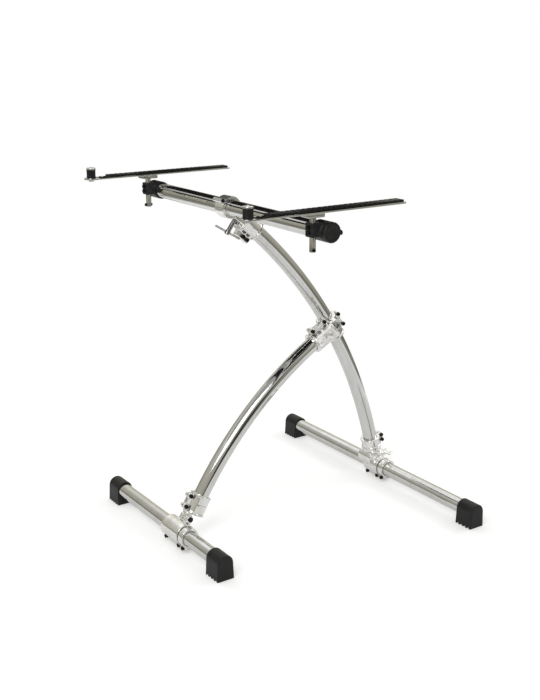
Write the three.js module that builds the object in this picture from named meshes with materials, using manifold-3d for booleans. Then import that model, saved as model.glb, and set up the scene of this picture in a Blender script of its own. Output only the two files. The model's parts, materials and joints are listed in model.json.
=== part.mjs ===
import * as THREE from 'three';
import { mergeVertices } from 'three/addons/utils/BufferGeometryUtils.js';
import Module from 'manifold-3d';

const wasm = await Module();
wasm.setup();

// Keyboard stand of bent and straight chrome tubes, in millimetres.
// X runs along the floor bars, Y from the player to the back, Z up.

// Tubes
const tube_radius = 19.05;
const tube_wall = 2;
const floor_bar_height = 38.5;
const floor_bar_depth = 339;
const rear_bar_half = 399;
const front_bar_half = 268;
const main_bend = 1259;
const brace_bend = 1015;
const top_bar_depth = 154;
const top_bar_height = 821;
const top_bar_left = 352;
const top_bar_right = 418;

// Fits
const running_gap = 0.07;
const grip_gap = 0.6;
const seat_gap = 0.3;
const bar_turn_gap = 0.16;
const weld = 1;
const overrun = 4;

// Rubber feet
const foot_bore_depth = 43;
const foot_bar_end_gap = 1;
const foot_end_wall = 13;
const foot_length = foot_bore_depth + foot_end_wall;
const rear_foot_inner = rear_bar_half + foot_bar_end_gap - foot_bore_depth;
const front_foot_inner = front_bar_half + foot_bar_end_gap - foot_bore_depth;
const foot_side_wall = 2.45;
const foot_top_wall = 4.95;
const foot_arch_radius = tube_radius + foot_side_wall;
const foot_height = floor_bar_height + tube_radius + foot_top_wall;
const foot_bottom_width = 47;
const tooth_depth = 4;
const tooth_count = 5;
const tooth_share = 0.5;

// Clamp shells round the bent tubes
const shell_wall = 6.45;
const shell_radius = tube_radius + shell_wall;
const rim_rise = 2;
const rim_radius = shell_radius + rim_rise;
const rim_width = 4;
const slit_half = 0.8;
const lug_half = 7;
const lug_bolt_out = 7.9;
const lug_bolt_reach = shell_radius + lug_bolt_out;
const lug_edge = 6.6;
const lug_reach = lug_bolt_reach + lug_edge;
const knuckle_radius = 5;
const knuckle_out = 2;
const knuckle_reach = shell_radius + knuckle_out;
const knuckle_count = 3;

// Bolts
const bolt_radius = 3;
const bolt_head_radius = 5.2;
const bolt_head_height = 5;
const bolt_nut_radius = 5.6;
const bolt_nut_height = 4.5;
const bolt_seat_room = 0.8;
const bolt_seat_radius = bolt_nut_radius + bolt_seat_room;

// Clamp where the brace meets the main tube
const centre_clamp_rise = 470;
const centre_clamp_length = 62;
const centre_bolt_spacing = 34;
const pivot_above = 14;
const pivot_boss_radius = 15;
const pivot_boss_out = 3.5;
const pivot_boss_face = shell_radius + pivot_boss_out;
const pivot_root_wall = 2.55;
const pivot_root = tube_radius + pivot_root_wall;
const pivot_radius = 5;
const pivot_head_radius = 9.5;
const pivot_head_height = 5.5;
const ear_thickness = 7.5;
const ear_radius = 15;
const ear_width = 27;
const washer_gap = 0.4;

// Place of the brace beside the main tube, and of its head from the pivot screw
const brace_space = 5;
const brace_side = 2 * rim_radius + brace_space;
const brace_head_forward = 38.35;
const brace_head_up = 2.2;

// Clamp on the brace's upper end
const head_clamp_length = 66;
const head_clamp_from_end = 32;
const head_bolt_spacing = 42;

// Clamp on the brace's lower end
const foot_clamp_length = 50;
const foot_clamp_from_end = 24;
const foot_bolt_spacing = 28;
const slit_stop = 6;

// Front floor clamp
const bar_shell_wall = 7.95;
const bar_shell_radius = tube_radius + bar_shell_wall;
const front_clamp_inward = 42;
const front_clamp_outward = 36;
const front_clamp_left = brace_side - front_clamp_inward;
const front_clamp_right = brace_side + front_clamp_outward;
const front_bolt_xs_inset = 8;
const floor_lug_half = 14;
const floor_lug_drop = 30;
const floor_lug_root = 14.5;
const floor_bolt_drop = 24.5;
const floor_lug_bottom = floor_bar_height - floor_lug_drop;
const floor_lug_top = floor_bar_height - floor_lug_root;
const floor_bolt_height = floor_bar_height - floor_bolt_drop;
const hinge_out = 11;
const hinge_lean = 0.87;
const hinge_knuckle_radius = 8.5;
const tongue_half = 8;
const fork_gap = 0.6;
const fork_half = 18;
const hinge_pin_radius = 4;
const hinge_pin_head_radius = 6.5;
const hinge_pin_head = 3.5;
const brace_foot_back = 18.5;
const brace_foot_up = 7.5;

// Narrow stop rings beside the floor clamps
const stop_ring_wall = 5.95;
const stop_ring_radius = tube_radius + stop_ring_wall;
const stop_ring_width = 18;
const stop_ring_space = 3;

// Rear floor clamp
const rear_clamp_left = 16;
const rear_clamp_right = 40;
const rear_bolt_xs_inset = 7;
const rear_disc_radius = 22;
const rear_disc_half = 26;
const rear_disc_back = 17;
const rear_disc_up = 24;
const rear_tube_clear = 11.95;
const rear_tube_start = tube_radius + rear_tube_clear;
const rear_socket_lap = 7;
const rear_socket_start = rear_tube_start - rear_socket_lap;
const rear_socket_depth = 24;
const rear_socket_end = rear_tube_start + rear_socket_depth;
const rear_lock_space = 2;
const rear_lock_start = rear_socket_end + rear_lock_space;
const rear_lock_length = 27;
const rear_lock_spacing = 15;
const wing_before_tube = 9;
const wing_station = rear_tube_start - wing_before_tube;
const wing_x = 12;
const wing_hub_radius = 6;
const wing_hub_out = 3;
const wing_hub_start = bar_shell_radius + wing_hub_out;
const wing_hub_length = 12;
const wing_hub_end = wing_hub_start + wing_hub_length;
const wing_boss_wall = 1;
const wing_span = 25;
const wing_height = 17;
const wing_shoulder_share = 0.7;
const wing_valley_share = 0.45;
const wing_thickness = 3.4;
const wing_screw_radius = 3.2;
const wing_root_wall = 3.95;
const wing_screw_root = tube_radius + wing_root_wall;

// Clamp under the top bar
const top_clamp_left = 4;
const top_clamp_right = 32;
const jaw_radius = bar_shell_radius;
const jaw_split = 0.6;
const jaw_lug_left = 15;
const jaw_lug_right = 20;
const jaw_lug_lower = 14;
const jaw_lug_upper = 12;
const jaw_knuckle_radius = 6;
const jaw_pin_radius = 2.6;
const jaw_pin_head_radius = 4.4;
const jaw_pin_head = 2.4;
const tee_below_jaw = 16.5;
const tee_station = jaw_radius + tee_below_jaw;
const tee_screw_radius = 4;
const tee_stem_radius = 5.5;
const tee_hub_radius = 6.2;
const tee_hub_out = 28.5;
const tee_hub_start = jaw_lug_lower + tee_hub_out;
const tee_hub_length = 11.5;
const tee_hub_end = tee_hub_start + tee_hub_length;
const tee_rod_radius = 2.6;
const tee_rod_length = 68;
const tee_rod_lean = 0.9;
const jaw_lug_edge = 15.5;
const jaw_lug_end = tee_station + jaw_lug_edge;
const neck_half = 19;
const neck_depth = 22;
const top_socket_space = 2;
const top_socket_start = jaw_lug_end + top_socket_space;
const top_socket_length = 51;
const top_socket_end = top_socket_start + top_socket_length;
const top_tube_stop = 4;
const top_tube_start = top_socket_start + top_tube_stop;
const top_bolt_spacing = 15;
const top_bolt_from_end = 19;
const top_bolt_centre = top_socket_end - top_bolt_from_end;

// Top bar ends and the clamps that carry the arms
const cap_overhang = 3.45;
const cap_radius = tube_radius + cap_overhang;
const cap_thickness = 7;
const cap_plug = 12;
const arm_inset = 22;
const arm_left = top_bar_left - arm_inset;
const arm_right = top_bar_right - arm_inset;
const end_clamp_half = 20;
const end_clamp_wall = 3.45;
const end_clamp_radius = tube_radius + end_clamp_wall;
const rod_radius = 7;
const rod_space = 4.95;
const rod_forward = tube_radius + rod_radius + rod_space;
const rod_boss_side_wall = 6;
const rod_boss_half = rod_radius + rod_boss_side_wall;
const rod_boss_front_wall = 4;
const rod_boss_front = rod_radius + rod_boss_front_wall;
const rod_boss_back = 15;
const rod_boss_drop = 10;
const rod_boss_rise = 21;
const rod_boss_low = top_bar_height - rod_boss_drop;
const rod_boss_high = top_bar_height + rod_boss_rise;
const rod_drop = 43;
const rod_low = top_bar_height - rod_drop;
const knob_radius = 4.6;
const knob_height = 5;
const knob_spacing = 12;
const knob_shank_radius = 2.4;
const knob_shank = 3;
const back_lug_half = 10;
const back_lug_height = 11;
const back_lug_depth = 9;
const back_bolt_drop = 8;
const back_bolt_shank = 8;
const back_bolt_head = 7;
const back_bolt_head_radius = 5.5;
const back_washer_radius = 4.2;
const back_washer_thickness = 2;
const stop_hole_radius = 2.3;
const stop_hole_rise = 6;
const left_rod_heading = -1.57;
const right_rod_heading = -0.3;

// Arms that the keyboard rests on
const arm_forward = 162;
const arm_rise = 45;
const post_depth = top_bar_depth + rod_forward + arm_forward;
const arm_top = top_bar_height + arm_rise;
const arm_thickness = 4;
const arm_width = 35;
const arm_rear_reach = 245;
const arm_back = arm_rear_reach - top_bar_depth - rod_forward;
const arm_corner = 6;
const saddle_wall = 8;
const saddle_half = rod_radius + saddle_wall;
const saddle_end_wall = 14;
const saddle_half_length = rod_radius + saddle_end_wall;
const saddle_height = 8.5;
const post_core_radius = 5;
const sleeve_wall = 6.4;
const sleeve_radius = post_core_radius + sleeve_wall;
const sleeve_height = 20.5;
const post_cap_overhang = 0.4;
const post_cap_radius = sleeve_radius + post_cap_overhang;
const post_cap_height = 4.6;
const post_pin_radius = 1.5;
const post_pin_height = 3;
const post_nut_radius = 7.2;
const slide_bolt_first = 25;
const slide_bolt_pitch = 12;
const slide_bolt_second = slide_bolt_first + slide_bolt_pitch;
const slide_hole_radius = 2.3;
const pad_after_bolt = 9;
const pad_start = slide_bolt_second + pad_after_bolt;
const pad_margin = 4;
const pad_width = arm_width - 2 * pad_margin;
const pad_height = 5;
const pad_gap = 0.1;
const pad_groove = 2.4;
const pad_pitch = 14;

// Round shapes are drawn with these numbers of sides
const bar_sides = 36;
const tube_sides = 24;
const shell_sides = 24;
const bore_sides = 28;
const bolt_sides = 10;
const main_steps = 20;
const brace_steps = 14;
const arc_steps = 7;
const hex_sides = 6;
const half_turn = Math.PI;
const quarter_turn = Math.PI / 2;

function fromShape(geometry) {
  const bare = geometry.clone();
  bare.deleteAttribute('normal');
  bare.deleteAttribute('uv');
  const welded = mergeVertices(bare);
  const mesh = new wasm.Mesh({
    numProp: 3,
    vertProperties: Float32Array.from(welded.attributes.position.array),
    triVerts: Uint32Array.from(welded.index.array),
  });
  return new wasm.Manifold(mesh);
}

function toShape(body) {
  const mesh = body.getMesh();
  const geometry = new THREE.BufferGeometry();
  const points = new THREE.BufferAttribute(Float32Array.from(mesh.vertProperties), 3);
  geometry.setAttribute('position', points);
  geometry.setIndex(Array.from(mesh.triVerts));
  const flat = geometry.toNonIndexed();
  flat.computeVertexNormals();
  return flat;
}

function union(bodies) {
  return bodies.reduce((sum, body) => sum.add(body));
}

function without(body, cuts) {
  return cuts.reduce((rest, cut) => rest.subtract(cut), body);
}

// Cylinder along Z, placed by a matrix
function rodZ(radius, from, to, place, sides = shell_sides) {
  const geometry = new THREE.CylinderGeometry(radius, radius, to - from, sides);
  geometry.rotateX(quarter_turn);
  geometry.translate(0, 0, (from + to) / 2);
  geometry.applyMatrix4(place);
  return fromShape(geometry);
}

// Cylinder along X through the point y, z
function rodX(radius, from, to, y, z, place, sides = shell_sides) {
  const geometry = new THREE.CylinderGeometry(radius, radius, to - from, sides);
  geometry.rotateZ(-quarter_turn);
  geometry.translate((from + to) / 2, y, z);
  geometry.applyMatrix4(place);
  return fromShape(geometry);
}

// Cylinder along Y through the point x, z
function rodY(radius, from, to, x, z, place, sides = shell_sides) {
  const geometry = new THREE.CylinderGeometry(radius, radius, to - from, sides);
  geometry.translate(x, (from + to) / 2, z);
  geometry.applyMatrix4(place);
  return fromShape(geometry);
}

function block(low, high, place) {
  const geometry = new THREE.BoxGeometry(high[0] - low[0], high[1] - low[1], high[2] - low[2]);
  geometry.translate((low[0] + high[0]) / 2, (low[1] + high[1]) / 2, (low[2] + high[2]) / 2);
  geometry.applyMatrix4(place);
  return fromShape(geometry);
}

function moved(x, y, z) {
  return new THREE.Matrix4().makeTranslation(x, y, z);
}

const world = moved(0, 0, 0);

// Circle through two points of the Y-Z plane, bulging to one side
function bendThrough(low, high, radius, side) {
  const dy = high[0] - low[0];
  const dz = high[1] - low[1];
  const chord = Math.hypot(dy, dz);
  const reach = Math.sqrt(radius * radius - chord * chord / 4) * side;
  const y = (low[0] + high[0]) / 2 - reach * dz / chord;
  const z = (low[1] + high[1]) / 2 + reach * dy / chord;
  const angle = (point) => Math.atan2(point[1] - z, point[0] - y);
  return { y, z, radius, low: angle(low), high: angle(high) };
}

const rear_axis = [floor_bar_depth, floor_bar_height];
const front_axis = [-floor_bar_depth, floor_bar_height];
const top_axis = [-top_bar_depth, top_bar_height];
const main_arc = bendThrough(rear_axis, top_axis, main_bend, 1);
const centre_angle = Math.asin((centre_clamp_rise - main_arc.z) / main_bend);
const centre_place = station(main_arc, centre_angle, 0);
const pivot_point = new THREE.Vector3(0, 0, pivot_above).applyMatrix4(centre_place);
const hinge_reach = bar_shell_radius + hinge_out;
const hinge_axis = [
  front_axis[0] + hinge_reach * Math.cos(hinge_lean),
  front_axis[1] + hinge_reach * Math.sin(hinge_lean),
];
const brace_low = [hinge_axis[0] + brace_foot_back, hinge_axis[1] + brace_foot_up];
const brace_high = [pivot_point.y - brace_head_forward, pivot_point.z + brace_head_up];
const brace_arc = bendThrough(brace_low, brace_high, brace_bend, -1);

// Frame on a bend: Y points away from the bend's centre and Z along the tube
function station(arc, angle, x) {
  const y = arc.y + arc.radius * Math.cos(angle);
  const z = arc.z + arc.radius * Math.sin(angle);
  return moved(x, y, z).multiply(new THREE.Matrix4().makeRotationX(angle));
}

function aboveRear(distance) {
  return station(main_arc, main_arc.low + distance / main_bend, 0);
}

function belowTop(distance) {
  return station(main_arc, main_arc.high - distance / main_bend, 0);
}

function braceBelowHead(distance) {
  return station(brace_arc, brace_arc.high + distance / brace_bend, brace_side);
}

function braceAboveFoot(distance) {
  return station(brace_arc, brace_arc.low - distance / brace_bend, brace_side);
}

class BendCurve extends THREE.Curve {
  constructor(arc, from, to, x) {
    super();
    this.arc = arc;
    this.from = from;
    this.to = to;
    this.x = x;
  }

  getPoint(t, target = new THREE.Vector3()) {
    const angle = this.from + (this.to - this.from) * t;
    const y = this.arc.y + this.arc.radius * Math.cos(angle);
    const z = this.arc.z + this.arc.radius * Math.sin(angle);
    return target.set(this.x, y, z);
  }
}

function tubeSection() {
  const section = new THREE.Shape();
  section.absarc(0, 0, tube_radius, 0, 2 * half_turn, false);
  const inside = new THREE.Path();
  inside.absarc(0, 0, tube_radius - tube_wall, 0, 2 * half_turn, true);
  section.holes.push(inside);
  return section;
}

function bentTube(arc, from, to, x, steps) {
  const path = new BendCurve(arc, from, to, x);
  const curveSegments = tube_sides / 2;
  return fromShape(new THREE.ExtrudeGeometry(tubeSection(), { steps, curveSegments, extrudePath: path }));
}

function straightTube(left, right, axis) {
  const depth = right - left;
  const curveSegments = bar_sides / 2;
  const geometry = new THREE.ExtrudeGeometry(tubeSection(), { depth, curveSegments, bevelEnabled: false });
  geometry.rotateY(quarter_turn);
  geometry.translate(left, axis[0], axis[1]);
  return fromShape(geometry);
}

// Screw with a round head and a nut, along X, standing at y, z of its frame
function crossBolt(half, y, z, place) {
  const head = rodX(bolt_head_radius, half + seat_gap, half + seat_gap + bolt_head_height, y, z, place,
    bolt_sides);
  const reach = half + seat_gap + bolt_head_height / 2;
  const shank = rodX(bolt_radius, -reach, reach, y, z, place, bolt_sides);
  const nut_face = -half - seat_gap;
  const nut = rodX(bolt_nut_radius, nut_face - bolt_nut_height, nut_face, y, z, place, hex_sides);
  return toShape(union([head, shank, nut]));
}

// Bolt holes through a pair of lugs
function lugHoles(half, y, stations, place) {
  const reach = half + overrun;
  return stations.map((z) => rodX(bolt_radius + seat_gap, -reach, reach, y, z, place, bolt_sides));
}

function spread(spacing) {
  return [-spacing / 2, spacing / 2];
}

// Outer form of a tube clamp: shell, rims and closing lugs on the chosen side
function clampForm(length, lug_side, place) {
  const half = length / 2;
  const lugs = block(
    [-lug_half, Math.min(tube_radius * lug_side, lug_reach * lug_side), rim_width - half],
    [lug_half, Math.max(tube_radius * lug_side, lug_reach * lug_side), half - rim_width],
    place);
  return union([
    rodZ(shell_radius, -half, half, place),
    rodZ(rim_radius, -half, rim_width - half, place),
    rodZ(rim_radius, half - rim_width, half, place),
    lugs,
  ]);
}

// Straight bore for a bent tube, moved towards the inside of the bend by half the rise of the arc
function bendBore(from, to, place) {
  const length = Math.max(Math.abs(from), Math.abs(to)) * 2;
  const shift = moved(0, -length * length / (16 * main_bend), 0);
  return rodZ(tube_radius + grip_gap, from, to, place.clone().multiply(shift), bore_sides);
}

// Bore that runs out of both ends of a clamp
function tubeBore(length, place) {
  return bendBore(-length / 2 - overrun, length / 2 + overrun, place);
}

// One half of a hinged clamp, cut at the plane between its lugs
function clampHalf(length, spacing, side, place) {
  const half = length / 2;
  const far = lug_reach + overrun;
  const low = side > 0 ? slit_half : -far;
  const high = side > 0 ? far : -slit_half;
  const keep = block([low, -far, -half - overrun], [high, far, half + overrun], place);
  const third = (length - 2 * rim_width) / knuckle_count;
  const knuckle_place = place.clone().multiply(moved(0, -knuckle_reach, 0));
  const knuckle = (from, to) => rodZ(knuckle_radius, from, to, knuckle_place, bolt_sides);
  const middle = knuckle(-third / 2, third / 2);
  const end = third + third / 2 - seat_gap;
  const ends = [knuckle(-end, -third / 2 - seat_gap), knuckle(third / 2 + seat_gap, end)];
  const clear = knuckle_radius + seat_gap;
  const notch = (from, to) => block(
    [-clear, -knuckle_reach - clear, from],
    [clear, clear - knuckle_reach, to],
    place);
  const shell = clampForm(length, 1, place).intersect(keep);
  const notches = side > 0
    ? [notch(-end - seat_gap, -third / 2), notch(third / 2, end + seat_gap)]
    : [notch(-third / 2 - seat_gap, third / 2 + seat_gap)];
  const trimmed = without(shell, notches);
  const joined = side > 0 ? union([trimmed, middle]) : union([trimmed, ...ends]);
  return without(joined, [
    tubeBore(length, place),
    ...lugHoles(lug_half, lug_bolt_reach, spread(spacing), place),
  ]);
}

function clampBolt(spacing, index, place) {
  return crossBolt(lug_half, lug_bolt_reach, spread(spacing)[index], place);
}

function centreClampBase() {
  const half = clampHalf(centre_clamp_length, centre_bolt_spacing, 1, centre_place);
  const { y, z } = pivot_point;
  const boss = rodX(pivot_boss_radius, pivot_root - weld, pivot_boss_face, y, z, world);
  const solid = union([half, boss]);
  const screw_hole = rodX(pivot_radius + seat_gap, pivot_root, pivot_boss_face + overrun, y, z, world,
    shell_sides);
  return toShape(without(solid, [tubeBore(centre_clamp_length, centre_place), screw_hole]));
}

function centreClampCap() {
  return toShape(clampHalf(centre_clamp_length, centre_bolt_spacing, -1, centre_place));
}

const ear_inner = pivot_boss_face + washer_gap;
const ear_outer = ear_inner + ear_thickness;

function pivotScrew() {
  const { y, z } = pivot_point;
  const head_face = ear_outer + washer_gap;
  const head_top = head_face + pivot_head_height;
  const head_middle = head_face + pivot_head_height / 2;
  const head = rodX(pivot_head_radius, head_face, head_top, y, z, world);
  const shank = rodX(pivot_radius, pivot_root + seat_gap, head_middle, y, z, world, shell_sides);
  const socket = rodX(bolt_radius, head_middle, head_top + overrun, y, z, world, hex_sides);
  return toShape(without(union([head, shank]), [socket]));
}

const head_place = braceBelowHead(head_clamp_from_end);

// The half of the head clamp that swings on the pivot screw
function headClampBase() {
  const shell = clampHalf(head_clamp_length, head_bolt_spacing, -1, head_place);
  const { y, z } = pivot_point;
  const eye = rodX(ear_radius, ear_inner, ear_outer, y, z, world);
  const socket = new THREE.Vector3(0, 0, 0).applyMatrix4(head_place);
  const lean = Math.atan2(z - socket.z, y - socket.y);
  const length = Math.hypot(z - socket.z, y - socket.y);
  const along = moved(0, socket.y, socket.z).multiply(new THREE.Matrix4().makeRotationX(lean));
  const arm = block([ear_inner, 0, -ear_width / 2], [ear_outer, length, ear_width / 2], along);
  const eye_hole = rodX(pivot_radius + running_gap, ear_inner - overrun, ear_outer + overrun, y, z, world,
    shell_sides);
  return toShape(without(union([shell, eye, arm]), [tubeBore(head_clamp_length, head_place), eye_hole]));
}

function headClampCap() {
  return toShape(clampHalf(head_clamp_length, head_bolt_spacing, 1, head_place));
}

// Split ring that grips a tube and is closed by bolts through its lugs
function splitRing(length, spacing, lug_side, place) {
  const far = lug_reach + overrun;
  const slit = block(
    [-slit_half, Math.min(0, far * lug_side), -length],
    [slit_half, Math.max(0, far * lug_side), length],
    place);
  return without(clampForm(length, lug_side, place), [
    tubeBore(length, place),
    slit,
    ...lugHoles(lug_half, lug_bolt_reach * lug_side, spread(spacing), place),
  ]);
}

const foot_place = braceAboveFoot(foot_clamp_from_end);

function braceFootClamp() {
  const length = foot_clamp_length;
  const hinge_local = new THREE.Vector3(brace_side, hinge_axis[0], hinge_axis[1])
    .applyMatrix4(foot_place.clone().invert());
  const half = length / 2;
  const root = half - slit_stop;
  const web = block(
    [-tongue_half, hinge_local.y - hinge_knuckle_radius, root],
    [tongue_half, shell_radius, half + slit_stop],
    foot_place);
  const tongue = block(
    [-tongue_half, hinge_local.y - hinge_knuckle_radius, root],
    [tongue_half, hinge_local.y + hinge_knuckle_radius, hinge_local.z],
    foot_place);
  const knuckle = rodX(hinge_knuckle_radius, -tongue_half, tongue_half, hinge_local.y, hinge_local.z,
    foot_place);
  const solid = union([clampForm(length, 1, foot_place), web, tongue, knuckle]);
  const tube_room = rodZ(tube_radius + grip_gap, -length, foot_clamp_from_end + seat_gap * 2, foot_place,
    bore_sides);
  const throat = rodZ(tube_radius - tube_wall, -length, half, foot_place, bore_sides);
  const slit = block([-slit_half, 0, -length], [slit_half, lug_reach + overrun, root], foot_place);
  const pin_hole = rodX(hinge_pin_radius + running_gap, -tongue_half - overrun, tongue_half + overrun,
    hinge_local.y, hinge_local.z, foot_place);
  const clear_floor = without(solid, [tube_room, slit, pin_hole]);
  const holes = lugHoles(lug_half, lug_bolt_reach, spread(foot_bolt_spacing), foot_place);
  const fork_room = [-1, 1].map((side) => rodX(
    hinge_knuckle_radius + seat_gap * 2,
    Math.min(side * (tongue_half + fork_gap / 2), side * (fork_half + fork_gap)),
    Math.max(side * (tongue_half + fork_gap / 2), side * (fork_half + fork_gap)),
    hinge_local.y, hinge_local.z, foot_place));
  return toShape(without(clear_floor, [...holes, ...fork_room, throat.intersect(tube_room)]));
}

// Ring on a floor bar with lugs below it, slit between the lugs
function floorRing(radius, left, right, axis, bore) {
  const ring = rodX(radius, left, right, axis[0], axis[1], world);
  const lugs = block(
    [left, axis[0] - floor_lug_half, floor_lug_bottom],
    [right, axis[0] + floor_lug_half, floor_lug_top],
    world);
  const hole = rodX(tube_radius + bore, left - overrun, right + overrun, axis[0], axis[1], world,
    bore_sides);
  const slit = block(
    [left - overrun, axis[0] - slit_half, floor_lug_bottom - overrun],
    [right + overrun, axis[0] + slit_half, axis[1]],
    world);
  return { solid: union([ring, lugs]), cuts: [hole, slit] };
}

// Bolt holes through the lugs, with round seats cut for the heads where the ring bulges out
function floorBoltHoles(xs, axis) {
  const seat_end = floor_lug_half + bar_shell_radius;
  const cuts = xs.map((x) => [
    rodY(bolt_radius + seat_gap, axis[0] - seat_end, axis[0] + seat_end, x, floor_bolt_height, world,
      bolt_sides),
    rodY(bolt_seat_radius, axis[0] + floor_lug_half, axis[0] + seat_end, x, floor_bolt_height, world),
    rodY(bolt_seat_radius, axis[0] - seat_end, axis[0] - floor_lug_half, x, floor_bolt_height, world),
  ]);
  return cuts.flat();
}

function floorBolt(x, axis) {
  const face = floor_lug_half + seat_gap;
  const front = axis[0] - face;
  const back = axis[0] + face;
  return toShape(union([
    rodY(bolt_head_radius, front - bolt_head_height, front, x, floor_bolt_height, world, bolt_sides),
    rodY(bolt_radius, front - weld, back + weld, x, floor_bolt_height, world, bolt_sides),
    rodY(bolt_nut_radius, back, back + bolt_nut_height, x, floor_bolt_height, world, hex_sides),
  ]));
}

const front_bolt_xs = [front_clamp_left + front_bolt_xs_inset, front_clamp_right - front_bolt_xs_inset];
const front_ring_left = front_clamp_right + stop_ring_space;
const front_ring_right = front_ring_left + stop_ring_width;
const rear_bolt_xs = [-rear_clamp_left + rear_bolt_xs_inset, rear_clamp_right - rear_bolt_xs_inset];
const rear_ring_left = rear_clamp_right + stop_ring_space;
const rear_ring_right = rear_ring_left + stop_ring_width;

function frontBarClamp() {
  const ring = floorRing(bar_shell_radius, front_clamp_left, front_clamp_right, front_axis, grip_gap);
  const along = moved(brace_side, front_axis[0], front_axis[1])
    .multiply(new THREE.Matrix4().makeRotationX(hinge_lean));
  const inner = tongue_half + fork_gap;
  const ears = [[-fork_half, -inner], [inner, fork_half]].map(([from, to]) => union([
    block([from, 0, -hinge_knuckle_radius], [to, hinge_reach, hinge_knuckle_radius], along),
    rodX(hinge_knuckle_radius, from + brace_side, to + brace_side, hinge_axis[0], hinge_axis[1], world),
  ]));
  const pin_hole = rodX(hinge_pin_radius + seat_gap, brace_side - fork_half - overrun,
    brace_side + fork_half + overrun, hinge_axis[0], hinge_axis[1], world);
  const solid = union([ring.solid, ...ears]);
  return toShape(without(solid, [...ring.cuts, pin_hole, ...floorBoltHoles(front_bolt_xs, front_axis)]));
}

function hingePin() {
  const reach = fork_half + seat_gap;
  const centre = brace_side;
  const shank = rodX(hinge_pin_radius, centre - reach - weld, centre + reach + weld, hinge_axis[0],
    hinge_axis[1], world);
  const heads = [[-reach - hinge_pin_head, -reach], [reach, reach + hinge_pin_head]].map(([from,
    to]) => rodX(
    hinge_pin_head_radius, centre + from, centre + to, hinge_axis[0], hinge_axis[1], world, bolt_sides));
  return toShape(union([shank, ...heads]));
}

function stopRing(left, right, axis) {
  const ring = floorRing(stop_ring_radius, left, right, axis, grip_gap);
  return toShape(without(ring.solid, [...ring.cuts, ...floorBoltHoles([(left + right) / 2], axis)]));
}

function rearClampBody() {
  const ring = floorRing(bar_shell_radius, -rear_clamp_left, rear_clamp_right, rear_axis, bar_turn_gap);
  const disc = rodX(rear_disc_radius, -rear_disc_half, rear_disc_half, rear_axis[0] - rear_disc_back,
    rear_axis[1] + rear_disc_up, world);
  const socket = rodZ(shell_radius, 0, rear_socket_end - rear_socket_start, aboveRear(rear_socket_start));
  const middle = aboveRear((rear_tube_start + rear_socket_end) / 2);
  const reach = (rear_socket_end - rear_tube_start) / 2;
  const tube_room = rodZ(tube_radius + grip_gap, -reach - seat_gap, reach + overrun, middle, bore_sides);
  const wing_hole = rodY(wing_screw_radius + seat_gap, wing_screw_root, wing_hub_start + overrun, wing_x, 0,
    aboveRear(wing_station), bolt_sides);
  const boss = rodY(wing_hub_radius + wing_boss_wall, shell_radius / 2, wing_hub_start - seat_gap, wing_x, 0,
    aboveRear(wing_station), bolt_sides);
  const solid = union([ring.solid, disc, socket, boss]);
  const disc_room = rodX(tube_radius + bar_turn_gap, -rear_disc_half - overrun, rear_disc_half,
    rear_axis[0], rear_axis[1], world, bore_sides);
  return toShape(without(solid, [
    ...ring.cuts,
    disc_room,
    tube_room,
    wing_hole,
    ...floorBoltHoles(rear_bolt_xs, rear_axis),
  ]));
}

function wingScrew() {
  const place = aboveRear(wing_station);
  const hub = rodY(wing_hub_radius, wing_hub_start, wing_hub_end, wing_x, 0, place, bolt_sides);
  const screw = rodY(wing_screw_radius, wing_screw_root + seat_gap, wing_hub_start + weld, wing_x, 0, place,
    bolt_sides);
  const wing = new THREE.Shape();
  wing.moveTo(-wing_span, 0);
  wing.lineTo(-wing_span * wing_shoulder_share, wing_height);
  wing.lineTo(-wing_span * wing_valley_share, wing_height);
  wing.lineTo(0, wing_hub_radius);
  wing.lineTo(wing_span * wing_valley_share, wing_height);
  wing.lineTo(wing_span * wing_shoulder_share, wing_height);
  wing.lineTo(wing_span, 0);
  wing.lineTo(wing_hub_radius, -wing_hub_radius / 2);
  wing.lineTo(-wing_hub_radius, -wing_hub_radius / 2);
  wing.closePath();
  const plate = new THREE.ExtrudeGeometry(wing, { depth: wing_thickness, bevelEnabled: false });
  plate.translate(wing_x, (wing_hub_start + wing_hub_end) / 2 - wing_hub_radius / 2, -wing_thickness / 2);
  plate.applyMatrix4(place);
  return toShape(union([hub, screw, fromShape(plate)]));
}

const rear_lock_place = aboveRear(rear_lock_start + rear_lock_length / 2);

function rearLockRing() {
  return toShape(splitRing(rear_lock_length, rear_lock_spacing, 1, rear_lock_place));
}

const top_place = belowTop(0);
const top_socket_place = belowTop((top_socket_start + top_socket_end) / 2);

function topBoltPlace(index) {
  return belowTop(top_bolt_centre + spread(top_bolt_spacing)[index]);
}

const jaw_pin_station = jaw_radius + jaw_knuckle_radius - weld;
const jaw_knuckle = (top_clamp_left + top_clamp_right) / knuckle_count;

function jawPin() {
  const left = -top_clamp_left - seat_gap;
  const right = top_clamp_right + seat_gap;
  return toShape(union([
    rodX(jaw_pin_radius, left - weld, right + weld, 0, jaw_pin_station, top_place, bolt_sides),
    rodX(jaw_pin_head_radius, left - jaw_pin_head, left, 0, jaw_pin_station, top_place, bolt_sides),
    rodX(jaw_pin_head_radius, right, right + jaw_pin_head, 0, jaw_pin_station, top_place, bolt_sides),
  ]));
}

function jawPinHole() {
  return rodX(jaw_pin_radius + seat_gap, -top_clamp_left - overrun, top_clamp_right + overrun, 0,
    jaw_pin_station, top_place, bolt_sides);
}

// Knuckles of the jaw's hinge between two places along the bar
function jawKnuckle(radius, from, to) {
  return rodX(radius, from, to, 0, jaw_pin_station, top_place);
}

function teeHole() {
  return rodY(tee_screw_radius + seat_gap, -neck_depth - overrun, jaw_lug_upper + overrun, 0, -tee_station,
    top_place);
}

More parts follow.
